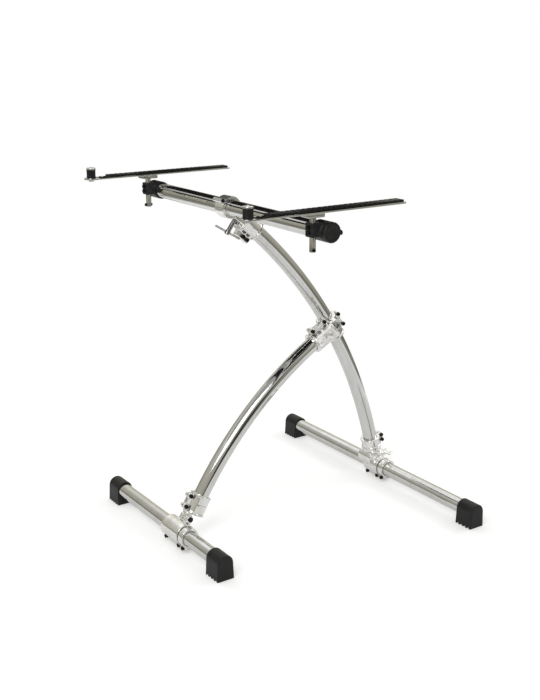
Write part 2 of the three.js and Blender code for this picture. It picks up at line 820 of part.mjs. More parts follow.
// Fixed jaw under the bar, in one piece with the socket on the main tube
function topClampBody() {
  const ring = rodX(jaw_radius, -top_clamp_left, top_clamp_right, 0, 0, top_place);
  const far = jaw_lug_end + overrun;
  const below = block([-far, -far, -far], [far, -jaw_split, far], top_place);
  const lug = block(
    [-jaw_lug_left, -jaw_lug_lower, -jaw_lug_end],
    [jaw_lug_right, -jaw_split, -tube_radius],
    top_place);
  const left_knuckle = jawKnuckle(jaw_knuckle_radius, -top_clamp_left, jaw_knuckle - top_clamp_left);
  const right_knuckle = jawKnuckle(jaw_knuckle_radius, top_clamp_right - jaw_knuckle, top_clamp_right);
  const middle_room = jawKnuckle(jaw_knuckle_radius + seat_gap, jaw_knuckle - top_clamp_left,
    top_clamp_right - jaw_knuckle);
  const neck = block([-neck_half, -neck_depth, -top_socket_start - rim_width],
    [neck_half, -jaw_split, -tee_station - tee_stem_radius - weld], top_place);
  const jaw = union([ring.intersect(below).subtract(middle_room), lug, left_knuckle, right_knuckle, neck]);
  const half = top_socket_length / 2;
  const slit = block([-slit_half, -lug_reach - overrun, -half - overrun], [slit_half, 0, half - slit_stop],
    top_socket_place);
  const socket = clampForm(top_socket_length, -1, top_socket_place);
  const tube_end = half - top_tube_start + top_socket_start + grip_gap;
  const tube_room = bendBore(-half - overrun, tube_end, top_socket_place);
  const bar_room = rodX(tube_radius + bar_turn_gap, -far, far, 0, 0, top_place, bore_sides);
  return toShape(without(union([jaw, socket]), [
    bar_room,
    tube_room,
    slit,
    teeHole(),
    jawPinHole(),
    ...lugHoles(lug_half, -lug_bolt_reach, [0], topBoltPlace(0)),
    ...lugHoles(lug_half, -lug_bolt_reach, [0], topBoltPlace(1)),
  ]));
}

function topClampJaw() {
  const ring = rodX(jaw_radius, -top_clamp_left, top_clamp_right, 0, 0, top_place);
  const far = jaw_lug_end + overrun;
  const above = block([-far, jaw_split, -far], [far, far, far], top_place);
  const lug = block(
    [-jaw_lug_left, jaw_split, -jaw_lug_end + weld],
    [jaw_lug_right, jaw_lug_upper, -tube_radius],
    top_place);
  const knuckle = jawKnuckle(jaw_knuckle_radius, jaw_knuckle - top_clamp_left + seat_gap,
    top_clamp_right - jaw_knuckle - seat_gap);
  const side_rooms = [
    jawKnuckle(jaw_knuckle_radius + seat_gap, -top_clamp_left - overrun,
      jaw_knuckle - top_clamp_left + seat_gap),
    jawKnuckle(jaw_knuckle_radius + seat_gap, top_clamp_right - jaw_knuckle - seat_gap,
      top_clamp_right + overrun),
  ];
  const shell = without(ring.intersect(above), side_rooms);
  const bar_room = rodX(tube_radius + bar_turn_gap, -far, far, 0, 0, top_place, bore_sides);
  return toShape(without(union([shell, lug, knuckle]), [bar_room, teeHole(), jawPinHole()]));
}

function topSocketBolt(index) {
  return crossBolt(lug_half, -lug_bolt_reach, 0, topBoltPlace(index));
}

function teeHandle() {
  const screw = rodY(tee_screw_radius, -tee_hub_start - weld, jaw_lug_upper - weld, 0, -tee_station,
    top_place);
  const stem = rodY(tee_stem_radius, -tee_hub_start - weld, -jaw_lug_lower - seat_gap, 0, -tee_station,
    top_place, bolt_sides);
  const hub = rodY(tee_hub_radius, -tee_hub_end, -tee_hub_start, 0, -tee_station, top_place, bolt_sides);
  const turned = top_place.clone()
    .multiply(moved(0, -(tee_hub_start + tee_hub_end) / 2, -tee_station))
    .multiply(new THREE.Matrix4().makeRotationY(tee_rod_lean));
  const rod = rodX(tee_rod_radius, -tee_rod_length / 2, tee_rod_length / 2, 0, 0, turned, bolt_sides);
  return toShape(union([screw, stem, hub, rod]));
}

function footBlock(inner, outward, axis) {
  const low = foot_bottom_width / 2;
  const centre = foot_height - foot_arch_radius;
  const start = Math.acos(foot_arch_radius / Math.hypot(low, centre)) - Math.atan2(centre, low);
  const profile = new THREE.Shape();
  profile.moveTo(-low, 0);
  profile.lineTo(low, 0);
  profile.absarc(0, centre, foot_arch_radius, start, half_turn - start, false);
  profile.closePath();
  const geometry = new THREE.ExtrudeGeometry(profile, {
    depth: foot_length,
    curveSegments: arc_steps,
    bevelEnabled: false,
  });
  geometry.rotateX(quarter_turn);
  geometry.rotateZ(quarter_turn);
  const left = outward > 0 ? inner : -inner - foot_length;
  geometry.translate(left, axis[0], 0);
  const bore_from = outward > 0 ? left - overrun : left + foot_length - foot_bore_depth;
  const bore_to = outward > 0 ? left + foot_bore_depth : left + foot_length + overrun;
  const bore = rodX(tube_radius + seat_gap, bore_from, bore_to, axis[0], axis[1], world, bore_sides);
  const pitch = foot_length / (tooth_count - 1 + tooth_share);
  const grooves = Array.from({ length: tooth_count - 1 }, (_, index) => {
    const from = left + pitch * (index + tooth_share);
    return block(
      [from, axis[0] - low - overrun, -overrun],
      [from + pitch * (1 - tooth_share), axis[0] + low + overrun, tooth_depth],
      world);
  });
  return toShape(without(fromShape(geometry), [bore, ...grooves]));
}

function barCap(x, side) {
  const inside = tube_radius - tube_wall - seat_gap;
  const face = x + side * seat_gap;
  const outer = face + side * cap_thickness;
  const plug = x - side * cap_plug;
  const flange = rodX(cap_radius, Math.min(face, outer), Math.max(face, outer), top_axis[0], top_axis[1],
    world);
  const inner = outer - side * weld;
  const stem = rodX(inside, Math.min(plug, inner), Math.max(plug, inner), top_axis[0], top_axis[1], world);
  return toShape(union([flange, stem]));
}

const rod_depth = top_axis[0] - rod_forward;
const knob_face = rod_depth - rod_boss_front;

// Black clamp that slides on the top bar and holds an upright rod in front of it
function endClamp(x) {
  const ring = rodX(end_clamp_radius, x - end_clamp_half, x + end_clamp_half, top_axis[0], top_axis[1],
    world);
  const boss = block([x - rod_boss_half, knob_face, rod_boss_low],
    [x + rod_boss_half, top_axis[0] - rod_boss_back, rod_boss_high], world);
  const back_face = top_axis[0] + end_clamp_radius - weld;
  const back = block(
    [x - back_lug_half, top_axis[0] + tube_radius / 2, top_axis[1] - back_bolt_drop - back_lug_height / 2],
    [x + back_lug_half, back_face + back_lug_depth, top_axis[1] - back_bolt_drop + back_lug_height / 2],
    world);
  const bar_room = rodX(tube_radius + bar_turn_gap, x - end_clamp_half - overrun,
    x + end_clamp_half + overrun, top_axis[0], top_axis[1], world, bore_sides);
  const rod_room = rodZ(rod_radius + running_gap, rod_boss_low - overrun, rod_boss_high + overrun,
    moved(x, rod_depth, 0));
  const holes = spread(knob_spacing).map((z) => rodY(knob_shank_radius + seat_gap, knob_face - overrun,
    knob_face + knob_shank + seat_gap, x, (rod_boss_low + rod_boss_high) / 2 + z, world, bolt_sides));
  const back_hole = rodY(knob_shank_radius + seat_gap, back_face + weld,
    back_face + back_lug_depth + overrun, x, top_axis[1] - back_bolt_drop, world, bolt_sides);
  return toShape(without(union([ring, boss, back]), [bar_room, rod_room, back_hole, ...holes]));
}

function endClampKnob(x, index) {
  const z = (rod_boss_low + rod_boss_high) / 2 + spread(knob_spacing)[index];
  const face = knob_face - seat_gap;
  return toShape(union([
    rodY(knob_radius, face - knob_height, face, x, z, world, bolt_sides),
    rodY(knob_shank_radius, face - weld, knob_face + knob_shank, x, z, world, bolt_sides),
  ]));
}

function endClampBackBolt(x) {
  const face = top_axis[0] + end_clamp_radius - weld + back_lug_depth;
  const z = top_axis[1] - back_bolt_drop;
  const head = face + back_bolt_shank;
  return toShape(union([
    rodY(knob_shank_radius, face - back_lug_depth + weld + seat_gap, head + weld, x, z, world, bolt_sides),
    rodY(back_washer_radius, face + seat_gap, face + seat_gap + back_washer_thickness, x, z, world,
      bolt_sides),
    rodY(back_bolt_head_radius, head, head + back_bolt_head, x, z, world, bolt_sides),
  ]));
}

const arm_low = arm_top - arm_thickness;
const rod_high = arm_low - seat_gap;

function uprightRod(x, heading) {
  const rod = rodZ(rod_radius, rod_low, rod_high, moved(x, rod_depth, 0));
  const turned = moved(x, rod_depth, rod_low + stop_hole_rise)
    .multiply(new THREE.Matrix4().makeRotationZ(heading));
  const reach = rod_radius + overrun;
  return toShape(rod.subtract(rodX(stop_hole_radius, -reach, reach, 0, 0, turned, bolt_sides)));
}

// Flat arm, round at the post and cut square with small corners at the back
function armPlate(x) {
  const half = arm_width / 2;
  const length = post_depth + arm_back;
  const outline = new THREE.Shape();
  outline.absarc(0, 0, half, half_turn, 2 * half_turn, false);
  outline.lineTo(half, length - arm_corner);
  outline.lineTo(half - arm_corner, length);
  outline.lineTo(arm_corner - half, length);
  outline.lineTo(-half, length - arm_corner);
  outline.closePath();
  const plate = new THREE.ExtrudeGeometry(outline, {
    depth: arm_thickness,
    curveSegments: arc_steps,
    bevelEnabled: false,
  });
  plate.translate(x, -post_depth, arm_low);
  const saddle = block([x - saddle_half, rod_depth - saddle_half_length, arm_low - saddle_height],
    [x + saddle_half, rod_depth + saddle_half_length, arm_low + weld], world);
  const rod_room = rodZ(rod_radius + seat_gap, arm_low - saddle_height - overrun, arm_low,
    moved(x, rod_depth, 0));
  const post_hole = rodZ(post_core_radius + seat_gap, arm_low - overrun, arm_top + overrun,
    moved(x, -post_depth, 0), bolt_sides);
  const bolt_holes = slideBoltDepths().map((y) => rodZ(slide_hole_radius, arm_low - overrun,
    arm_top + overrun, moved(x, y, 0), bolt_sides));
  return toShape(without(union([fromShape(plate), saddle]), [rod_room, post_hole, ...bolt_holes]));
}

function slideBoltDepths() {
  return [slide_bolt_first, slide_bolt_second].map((distance) => distance - post_depth);
}

function armPad(x) {
  const from = pad_start - post_depth;
  const length = post_depth + arm_back - pad_start - arm_corner;
  const body = block([x - pad_width / 2, from, arm_top + pad_gap],
    [x + pad_width / 2, from + length, arm_top + pad_height], world);
  const count = Math.floor(length / pad_pitch);
  const grooves = Array.from({ length: count }, (_, index) => {
    const y = from + pad_pitch * (index + 1) - pad_pitch / 2;
    return block(
      [x - pad_width, y, arm_top + pad_height / 2],
      [x + pad_width, y + pad_groove, arm_top + pad_height + overrun],
      world);
  });
  return toShape(without(body, grooves));
}

function armPost(x) {
  const place = moved(x, -post_depth, 0);
  const cap_low = arm_top + seat_gap + sleeve_height;
  return toShape(union([
    rodZ(post_core_radius, arm_low - seat_gap - weld, cap_low + weld, place, bolt_sides),
    rodZ(post_cap_radius, cap_low + seat_gap, cap_low + seat_gap + post_cap_height, place),
    rodZ(post_pin_radius, cap_low + post_cap_height, cap_low + post_cap_height + post_pin_height, place,
      bolt_sides),
    rodZ(post_nut_radius, arm_low - seat_gap - bolt_nut_height, arm_low - seat_gap, place, hex_sides),
  ]));
}

function postSleeve(x) {
  const place = moved(x, -post_depth, 0);
  const low = arm_top + seat_gap;
  const body = rodZ(sleeve_radius, low, low + sleeve_height, place);
  const hole = rodZ(post_core_radius + seat_gap, low - overrun, low + sleeve_height + overrun, place,
    bolt_sides);
  return toShape(body.subtract(hole));
}

// Materials
function chrome() {
  return new THREE.MeshStandardMaterial({ color: 0xd9dbdd, roughness: 0.1, metalness: 1 });
}

function castChrome() {
  return new THREE.MeshStandardMaterial({ color: 0xcac8c2, roughness: 0.22, metalness: 1 });
}

function blackSteel() {
  return new THREE.MeshStandardMaterial({ color: 0x1b1b1c, roughness: 0.4, metalness: 0.7 });
}

function blackCast() {
  return new THREE.MeshStandardMaterial({ color: 0x141414, roughness: 0.5, metalness: 0.2 });
}

function rubber() {
  return new THREE.MeshStandardMaterial({ color: 0x181818, roughness: 0.85, metalness: 0 });
}

function piece(name, geometry, material) {
  const mesh = new THREE.Mesh(geometry, material);
  mesh.name = name;
  return mesh;
}

function assembly(name, pieces) {
  const group = new THREE.Group();
  group.name = name;
  group.add(...pieces);
  return group;
}

function mainTube() {
  const from = main_arc.low + rear_tube_start / main_bend;
  const to = main_arc.high - top_tube_start / main_bend;
  return toShape(bentTube(main_arc, from, to, 0, main_steps));
}

function braceTube() {
  return toShape(bentTube(brace_arc, brace_arc.high, brace_arc.low, brace_side, brace_steps));
}

// Two screws of a clamp, numbered from its low end
function pair(name, make) {
  return [0, 1].map((index) => piece(`${name}_${index + 1}`, make(index), blackSteel()));
}

function mast() {
  return assembly('mast', [
    piece('main_tube', mainTube(), chrome()),
    piece('rear_clamp_body', rearClampBody(), castChrome()),
    ...pair('rear_clamp_bolt', (index) => floorBolt(rear_bolt_xs[index], rear_axis)),
    piece('rear_lock_ring', rearLockRing(), castChrome()),
    ...pair('rear_lock_bolt', (index) => clampBolt(rear_lock_spacing, index, rear_lock_place)),
    piece('rear_wing_screw', wingScrew(), castChrome()),
    piece('centre_clamp_base', centreClampBase(), castChrome()),
    piece('centre_clamp_cap', centreClampCap(), castChrome()),
    ...pair('centre_clamp_bolt', (index) => clampBolt(centre_bolt_spacing, index, centre_place)),
    piece('pivot_screw', pivotScrew(), blackSteel()),
    piece('top_clamp_body', topClampBody(), castChrome()),
    piece('top_clamp_jaw', topClampJaw(), castChrome()),
    piece('top_jaw_pin', jawPin(), blackSteel()),
    ...pair('top_socket_bolt', (index) => topSocketBolt(index)),
    piece('tee_handle', teeHandle(), chrome()),
  ]);
}

function rearBase() {
  return assembly('rear_base', [
    piece('rear_floor_bar', toShape(straightTube(-rear_bar_half, rear_bar_half, rear_axis)), chrome()),
    piece('rear_left_foot', footBlock(rear_foot_inner, -1, rear_axis), rubber()),
    piece('rear_right_foot', footBlock(rear_foot_inner, 1, rear_axis), rubber()),
    piece('rear_stop_ring', stopRing(rear_ring_left, rear_ring_right, rear_axis), castChrome()),
  ]);
}

function brace() {
  return assembly('brace', [
    piece('brace_tube', braceTube(), chrome()),
    piece('head_clamp_base', headClampBase(), castChrome()),
    piece('head_clamp_cap', headClampCap(), castChrome()),
    ...pair('head_clamp_bolt', (index) => clampBolt(head_bolt_spacing, index, head_place)),
    piece('brace_foot_clamp', braceFootClamp(), castChrome()),
    ...pair('brace_foot_bolt', (index) => clampBolt(foot_bolt_spacing, index, foot_place)),
  ]);
}

function frontBase() {
  return assembly('front_base', [
    piece('front_floor_bar', toShape(straightTube(-front_bar_half, front_bar_half, front_axis)), chrome()),
    piece('front_left_foot', footBlock(front_foot_inner, -1, front_axis), rubber()),
    piece('front_right_foot', footBlock(front_foot_inner, 1, front_axis), rubber()),
    piece('front_bar_clamp', frontBarClamp(), castChrome()),
    ...pair('front_clamp_bolt', (index) => floorBolt(front_bolt_xs[index], front_axis)),
    piece('front_stop_ring', stopRing(front_ring_left, front_ring_right, front_axis), castChrome()),
    piece('front_hinge_pin', hingePin(), blackSteel()),
  ]);
}

function topTable() {
  return assembly('top_table', [
    piece('top_bar', toShape(straightTube(-top_bar_left, top_bar_right, top_axis)), chrome()),
    piece('top_bar_left_cap', barCap(-top_bar_left, -1), blackCast()),
    piece('top_bar_right_cap', barCap(top_bar_right, 1), blackCast()),
  ]);
}

function armSet(side, x, heading) {
  return assembly(`${side}_arm_set`, [
    piece(`${side}_end_clamp`, endClamp(x), blackCast()),
    ...pair(`${side}_clamp_knob`, (index) => endClampKnob(x, index)),
    piece(`${side}_back_bolt`, endClampBackBolt(x), blackSteel()),
    piece(`${side}_upright_rod`, uprightRod(x, heading), chrome()),
    piece(`${side}_arm_plate`, armPlate(x), chrome()),
    piece(`${side}_arm_pad`, armPad(x), rubber()),
    piece(`${side}_arm_post`, armPost(x), chrome()),
    piece(`${side}_post_sleeve`, postSleeve(x), rubber()),
  ]);
}

const stand = assembly('keyboard_stand', [
  mast(),
  rearBase(),
  brace(),
  frontBase(),
  topTable(),
  armSet('left', -arm_left, left_rod_heading),
  armSet('right', arm_right, right_rod_heading),
]);

// The origin is the middle of the footprint, on the floor
const box = new THREE.Box3().setFromObject(stand);
const middle = box.getCenter(new THREE.Vector3());
stand.position.set(-middle.x, -middle.y, -box.min.z);

export default stand;
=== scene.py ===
import json
import math
import bpy
import numpy as np
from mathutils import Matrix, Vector


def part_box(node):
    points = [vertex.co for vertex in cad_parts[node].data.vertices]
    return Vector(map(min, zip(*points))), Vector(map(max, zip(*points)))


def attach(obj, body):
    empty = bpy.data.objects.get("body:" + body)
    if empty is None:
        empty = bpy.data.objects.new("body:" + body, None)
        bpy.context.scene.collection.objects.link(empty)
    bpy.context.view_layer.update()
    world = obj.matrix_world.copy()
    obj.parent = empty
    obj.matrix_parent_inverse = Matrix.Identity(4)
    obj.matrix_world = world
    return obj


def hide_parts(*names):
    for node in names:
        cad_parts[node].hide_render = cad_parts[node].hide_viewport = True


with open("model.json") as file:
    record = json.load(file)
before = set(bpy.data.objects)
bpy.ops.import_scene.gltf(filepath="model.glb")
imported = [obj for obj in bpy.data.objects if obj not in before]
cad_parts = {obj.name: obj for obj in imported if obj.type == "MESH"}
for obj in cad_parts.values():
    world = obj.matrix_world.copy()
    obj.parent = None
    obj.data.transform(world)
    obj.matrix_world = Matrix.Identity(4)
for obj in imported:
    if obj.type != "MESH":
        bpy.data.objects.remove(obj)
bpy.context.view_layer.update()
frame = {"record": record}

# All sizes below are in millimetres and are multiplied by MM where Blender needs metres.
MM = 0.001

# Tubes and their places
TUBE_RADIUS = 19.05
TUBE_WALL = 2
TUBE_LIP = 0.5
BAR_HEIGHT = 38.5
BAR_DEPTH = 339
REAR_BAR_HALF = 399
FRONT_BAR_HALF = 268
TOP_BAR_LEFT = -352
TOP_BAR_RIGHT = 418
TOP_AXIS = (-154, 821)
MAIN_BEND = 1259
MAIN_START = 31
MAIN_STOP = 65
BRACE_BEND = 1015
BRACE_SIDE = 60
BRACE_FOOT = (18.5, 7.5)
BRACE_HEAD = (-38.35, 2.2)
CENTRE_HEIGHT = 470
PIVOT_UP = 14
FORK_REACH = 38
FORK_LEAN = 0.87

# Clamp shells and their lugs
SHELL = 25.5
RIM = 27.5
RIM_WIDTH = 4
LUG_HALF = 7
LUG_BOLT = 33.4
LOBE = 6.6
WEB_START = 15
WEB_PAST = 2.6
WEB_INSET = 0.4
WEB_END = 5.5
SLIT = 1.0
SLIT_DEPTH = 60
SLIT_STOP = 6
SPLIT = 0.8
PANEL_AT = 21.6
PANEL_HALF = 13
PANEL_RIB = 4
PANEL_CUT = 9

# Hinge knuckles of the split clamps
KNUCKLE = 5
KNUCKLE_REACH = 27.5
KNUCKLE_EDGE = 0.7
KNUCKLE_ROOM = 0.5
KNUCKLE_PLAY = 0.4

# Clamp lengths and the spacing of their screws
CENTRE_CLAMP = 62
CENTRE_SPACING = 34
HEAD_CLAMP = 66
HEAD_SPACING = 42
FOOT_CLAMP = 50
FOOT_SPACING = 28
CLAMP_PROUD = 1
LOCK_RING = 27
LOCK_SPACING = 15
LOCK_STATION = 70.5

# Pivot between the mast and the brace
PIVOT_BOSS = 15
PIVOT_BOSS_SPAN = (20, 29)
PIVOT_EDGE = 1.2
PIVOT_EAR = (29.4, 36.9)
PIVOT_EAR_HALF = 13.5
PIVOT_SHANK = 5
PIN_PLAY = 0.2
PIVOT_START = 22
PIVOT_SEAT = 37.3
PIVOT_HEAD = 9.5
PIVOT_HEAD_HEIGHT = 5.5
PIVOT_SOCKET = 5.2
PIVOT_SOCKET_DEPTH = 5.0

# Brace foot and the fork that it hinges in
TONGUE_HALF = 8
TONGUE_EYE = 8.5
FOOT_KNUCKLES = ((-20, -8), (-6.4, 6.4), (8, 17))
FOOT_KNUCKLE_MORE = 0.4
FOOT_KNUCKLE_IN = 1
FOOT_KNUCKLE_EDGE = 1.2
FORK_NEAR = 8.6
FORK_FAR = 18
FORK_FLOOR = 26.5
FORK_GAP_HALF = 20
HINGE_PIN = 4
HINGE_ROOM = (30, 90)
HINGE_PIN_PROFILE = ((2, 38.2), (5.4, 38.2), (6.5, 39.2), (6.5, 41.7), (4, 41.7), (4, 78.3), (6.5, 78.3),
                     (6.5, 80.8), (5.4, 81.8), (2, 81.8))

# Rings on the floor bars
FLOOR_CLAMP = 27
STOP_RING = 25
STOP_LENGTH = 18
RING_EDGE = 1.6
FLOOR_LUG = 14
FLOOR_LUG_LOW = 8.5
FLOOR_LUG_TOP = 24
FLOOR_LOBE = 6.4
FLOOR_LOBE_HEIGHT = 14.8
FLOOR_SCREW_HEIGHT = 14
FLOOR_SEAT_DEPTH = 36
FRONT_CLAMP = (18, 96)
FRONT_BOLTS = (26, 88)
FRONT_STOP = 99
REAR_CLAMP = (-16, 40)
REAR_BOLTS = (-9, 33)
REAR_STOP = 43

# Rear clamp's disc and socket, and its wing screw. Three numbers are a radius, a start and an end.
DISC = 22
DISC_HALF = 26
DISC_AHEAD = 17
DISC_UP = 24
DISC_EDGE = 1.4
SOCKET_STATION = 24
SOCKET_LENGTH = 31
WING_STATION = 22
WING_SIDE = 12
WING_BOSS = (7, 12, 29.7)
WING_HUB = (6, 30, 42)
WING_SCREW = (3.2, 23.5, 31)
WING_AT = 33
WING_HALF = 1.7
WING_OUTLINE = ((-25, 0), (-17.5, 17), (-11.25, 17), (0, 6), (11.25, 17), (17.5, 17), (25, 0),
                (6, -3), (-6, -3))

# Top clamp: the bar lies in its ring, the mast in its socket
TOP_RING = 27
TOP_SPAN = (-4, 32)
TOP_EDGE = 1.4
TOP_SPLIT = 0.6
BODY_LUGS = (((-15, -14, -59), (20, 6, -16), 1.6), ((-19, -22, -66), (19, 6, -50), 2))
JAW_LUGS = (((-15, -6, -58), (20, 12, -16), 1.6),)
JAW_HINGE = (0, 32)
JAW_KNUCKLE = 6
JAW_KNUCKLE_ROOM = 6.4
JAW_KNUCKLE_SPAN = (8, 20)
JAW_PIN_PROFILE = ((1, -6.7), (3.6, -6.7), (4.4, -5.9), (4.4, -4.3), (2.6, -4.3), (2.6, 32.3), (4.4, 32.3),
                   (4.4, 33.9), (3.6, 34.7), (1, 34.7))
TOP_SOCKET = 51
TOP_SOCKET_STATION = 86.5
TOP_SOCKET_BOLTS = (85.5, 100.5)
TOP_FLAT_HALF = 21.5
TOP_FLAT_REACH = 40
TEE_AXIS = (0, -43.5)
TEE_ROOM = 4.4
TEE_SCREW = (4, -43, 11)
TEE_STEM = (5.5, -43, -14.3)
TEE_HUB = (6.2, -54, -42.5)
TEE_BAR = 2.6
TEE_BAR_HALF = 34
TEE_BAR_TURN = 0.9

# Rubber feet
FOOT_RADIUS = 21.5
FOOT_CENTRE = 41.0
FOOT_SOLE_HALF = 23.5
FOOT_LENGTH = 56
FOOT_EDGE = 4.0
FOOT_BASE_EDGE = 0.6
FOOT_OVER_BAR = 42
FOOT_WALL = 13
FOOT_TEETH = 4.5
FOOT_GROOVES = 4
FOOT_GROOVE_HEIGHT = 4

# End clamps on the top bar
END_CLAMP_INSET = 22
END_RING = 22.5
END_RING_HALF = 20
END_RING_EDGE = 1.8
END_BOSS_HALF = 13
END_BOSS_DEPTH = 11
END_BOSS_BACK = 15
END_BOSS_LOW = 10
END_BOSS_TOP = 21
END_BACK_HALF = 10
END_BACK = (9, 30.5)
END_BACK_HEIGHT = (-13.5, -2.5)
END_BLEND = 5
ROD_AHEAD = 31
ROD_ROOM = 7.2
ROD_PROFILE = ((5.6, 778), (7, 779.4), (7, 861), (6.4, 861.7))
ROD_STOP_HEIGHT = 784
ROD_STOP_FACE = 7.2
ROD_STOP_PROFILE = ((3.2, -9.6), (3.8, -9.0), (3.8, -7.2), (2.2, -7.2), (2.2, 7.2))
KNOB = 4.6
KNOB_SHANK = 2.4
KNOB_BURIED = 3
KNOB_HEIGHT = 826.5
KNOB_SPACING = 12
BACK_BOLT_HEIGHT = 813
BACK_BOLT_PROFILE = ((2.4, -7.7), (2.4, 0.3), (4.2, 0.3), (4.2, 2.3), (2.4, 2.3), (2.4, 8), (5.5, 8), (5.5, 15),
                     (1, 15))
CAP_PROFILE = ((16.5, -12), (16.5, 0.3), (22.5, 0.3), (22.5, 5.2), (20.8, 7.3), (14, 7.3), (13, 6.7),
               (0.5, 6.7))

# Arms with their pads and posts
ARM_HALF = 17.5
ARM_FRONT = -347
ARM_BACK = 60
ARM_CORNER = 6
ARM_LOW = 862
ARM_TOP = 866
ARM_EDGE = 0.6
SADDLE = ((-15, -21, 853.5), (15, 21, 862.6))
SADDLE_EDGE = 1.6
PAD_HALF = 13.5
PAD_SPAN = (-301.0, 54.0)
PAD_BASE = (866.1, 868.5)
PAD_RIB = (867, 871)
PAD_PITCH = 14
PAD_GROOVE = 2.4
POST_PROFILE = ((5, 861.6), (5, 887.1), (11.8, 887.1), (11.8, 890.4), (10.6, 891.7), (2.6, 891.9), (1.5, 892.2),
                (1.5, 894.2), (1.0, 894.4))
POST_NUT_PROFILE = ((6.2, 857.2), (7.2, 857.9, "hex"), (7.2, 861.2, "hex"), (6.4, 861.7))
SLEEVE_PROFILE = ((11.0, 866.3), (11.4, 867.2), (11.4, 870.4), (11.1, 870.9), (11.1, 882), (11.4, 882.5),
                  (11.4, 886.2), (11.0, 886.8), (6, 886.8))
ARM_SCREWS = (25, 37)
ARM_SCREW_LOW = 860.8

# Screws and nuts
BOLT = 3
HEAD = 5.2
HEAD_HEIGHT = 5
HEAD_SOCKET = 2.9
HEAD_SOCKET_DEPTH = 2.6
HEAD_BURIED = 2
SOCKET_EDGE = 0.5
NUT = 5.6
NUT_HEIGHT = 4.5
NUT_FACE_SHARE = 0.85
SEAT = 0.3

# Clearances, fillets and how far a cut runs past what it cuts
GRIP = 0.6
SOFT = 3.0
EDGE = 1.1
CREASE = 0.5
CUT_EDGE = 0.6
RUBBER_EDGE = 0.8
KNUCKLE_FILLET = 1.5
PIVOT_FILLET = 4
SLIT_PAST = 5
PAST = 60
OPEN_END = 9

# Mesh steps
CAST_STEP = 0.8
SCREW_STEP = 0.6
TEE_STEP = 0.5
PLASTIC_STEP = 1.1
RUBBER_STEP = 1.2
TUBE_SIDES = 72


def translate(x, y, z):
    """4x4 matrix of a move."""
    made = np.eye(4)
    made[:3, 3] = (x, y, z)
    return made


def turn(axis, angle):
    """4x4 matrix of a turn about X, Y or Z."""
    made = np.eye(4)
    i, j = {"x": (1, 2), "y": (2, 0), "z": (0, 1)}[axis]
    made[i, i] = made[j, j] = math.cos(angle)
    made[i, j] = -math.sin(angle)
    made[j, i] = math.sin(angle)
    return made


class Bend:
    """Circular arc in a plane of constant X, through two points of the Y-Z plane."""

    def __init__(self, low, high, radius, side, x):
        dy, dz = high[0] - low[0], high[1] - low[1]
        chord = math.hypot(dy, dz)
        reach = math.sqrt(radius * radius - chord * chord / 4) * side
        self.y = (low[0] + high[0]) / 2 - reach * dz / chord
        self.z = (low[1] + high[1]) / 2 + reach * dy / chord
        self.radius, self.x = radius, x
        self.low, self.high = (math.atan2(p[1] - self.z, p[0] - self.y) for p in (low, high))
        self.sense = 1 if self.high > self.low else -1
        self.length = abs(self.high - self.low) * radius

    def place(self, angle):
        """Frame on the arc: Y away from its centre, Z along it."""
        y = self.y + self.radius * math.cos(angle)
        z = self.z + self.radius * math.sin(angle)
        return translate(self.x, y, z) @ turn("x", angle)

    def above(self, distance):
        """Frame that far along the arc from its low end."""
        return self.place(self.low + self.sense * distance / self.radius)

    def below(self, distance):
        """Frame that far along the arc from its high end."""
        return self.place(self.high - self.sense * distance / self.radius)


REAR_AXIS = (BAR_DEPTH, BAR_HEIGHT)
FRONT_AXIS = (-BAR_DEPTH, BAR_HEIGHT)
HINGE = (FRONT_AXIS[0] + FORK_REACH * math.cos(FORK_LEAN), FRONT_AXIS[1] + FORK_REACH * math.sin(FORK_LEAN))
main_arc = Bend(REAR_AXIS, TOP_AXIS, MAIN_BEND, 1, 0)
centre_place = main_arc.place(math.asin((CENTRE_HEIGHT - main_arc.z) / MAIN_BEND))
PIVOT = (centre_place @ np.array([0, 0, PIVOT_UP, 1]))[1:3]
brace_arc = Bend((HINGE[0] + BRACE_FOOT[0], HINGE[1] + BRACE_FOOT[1]),
                 (PIVOT[0] + BRACE_HEAD[0], PIVOT[1] + BRACE_HEAD[1]), BRACE_BEND, -1, BRACE_SIDE)
head_place = brace_arc.below(HEAD_CLAMP / 2 - CLAMP_PROUD)
foot_place = brace_arc.above(FOOT_CLAMP / 2 - CLAMP_PROUD)
top_place = main_arc.below(0)
lock_place = main_arc.above(LOCK_STATION)
wing_place = main_arc.above(WING_STATION)
ROD_Y = TOP_AXIS[0] - ROD_AHEAD
END_FACE = ROD_Y - END_BOSS_DEPTH


def stand_origin():
    """Where the drawing's own zero lies in the frame, in metres."""
    mast_low, mast_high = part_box("main_tube")
    bar_low, bar_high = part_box("rear_floor_bar")
    return np.array([(mast_low.x + mast_high.x) / 2, (bar_low.y + bar_high.y) / 2 - BAR_DEPTH * MM, 0.0])


ORIGIN = stand_origin()
WORLD = np.eye(4)


def to_frame(points):
    """Drawing points in millimetres to frame points in metres."""
    return np.asarray(points, float) * MM + ORIGIN


# Distance fields. Each function returns a function of an N x 3 array of drawing points.

def soft_min(a, b, k):
    if not k:
        return np.minimum(a, b)
    h = np.maximum(k - np.abs(a - b), 0) / k
    return np.minimum(a, b) - h * h * k / 4


def joined(k, *fields):
    def field(p):
        total = fields[0](p)
        for other in fields[1:]:
            total = soft_min(total, other(p), k)
        return total
    return field


def cut(k, body, *tools):
    def field(p):
        total = body(p)
        for tool in tools:
            total = -soft_min(-total, tool(p), k)
        return total
    return field


def common(k, first, second):
    return lambda p: -soft_min(-first(p), -second(p), k)


def inside(place, field):
    """The field drawn in another frame."""
    back = np.linalg.inv(place)
    return lambda p: field(p @ back[:3, :3].T + back[:3, 3])


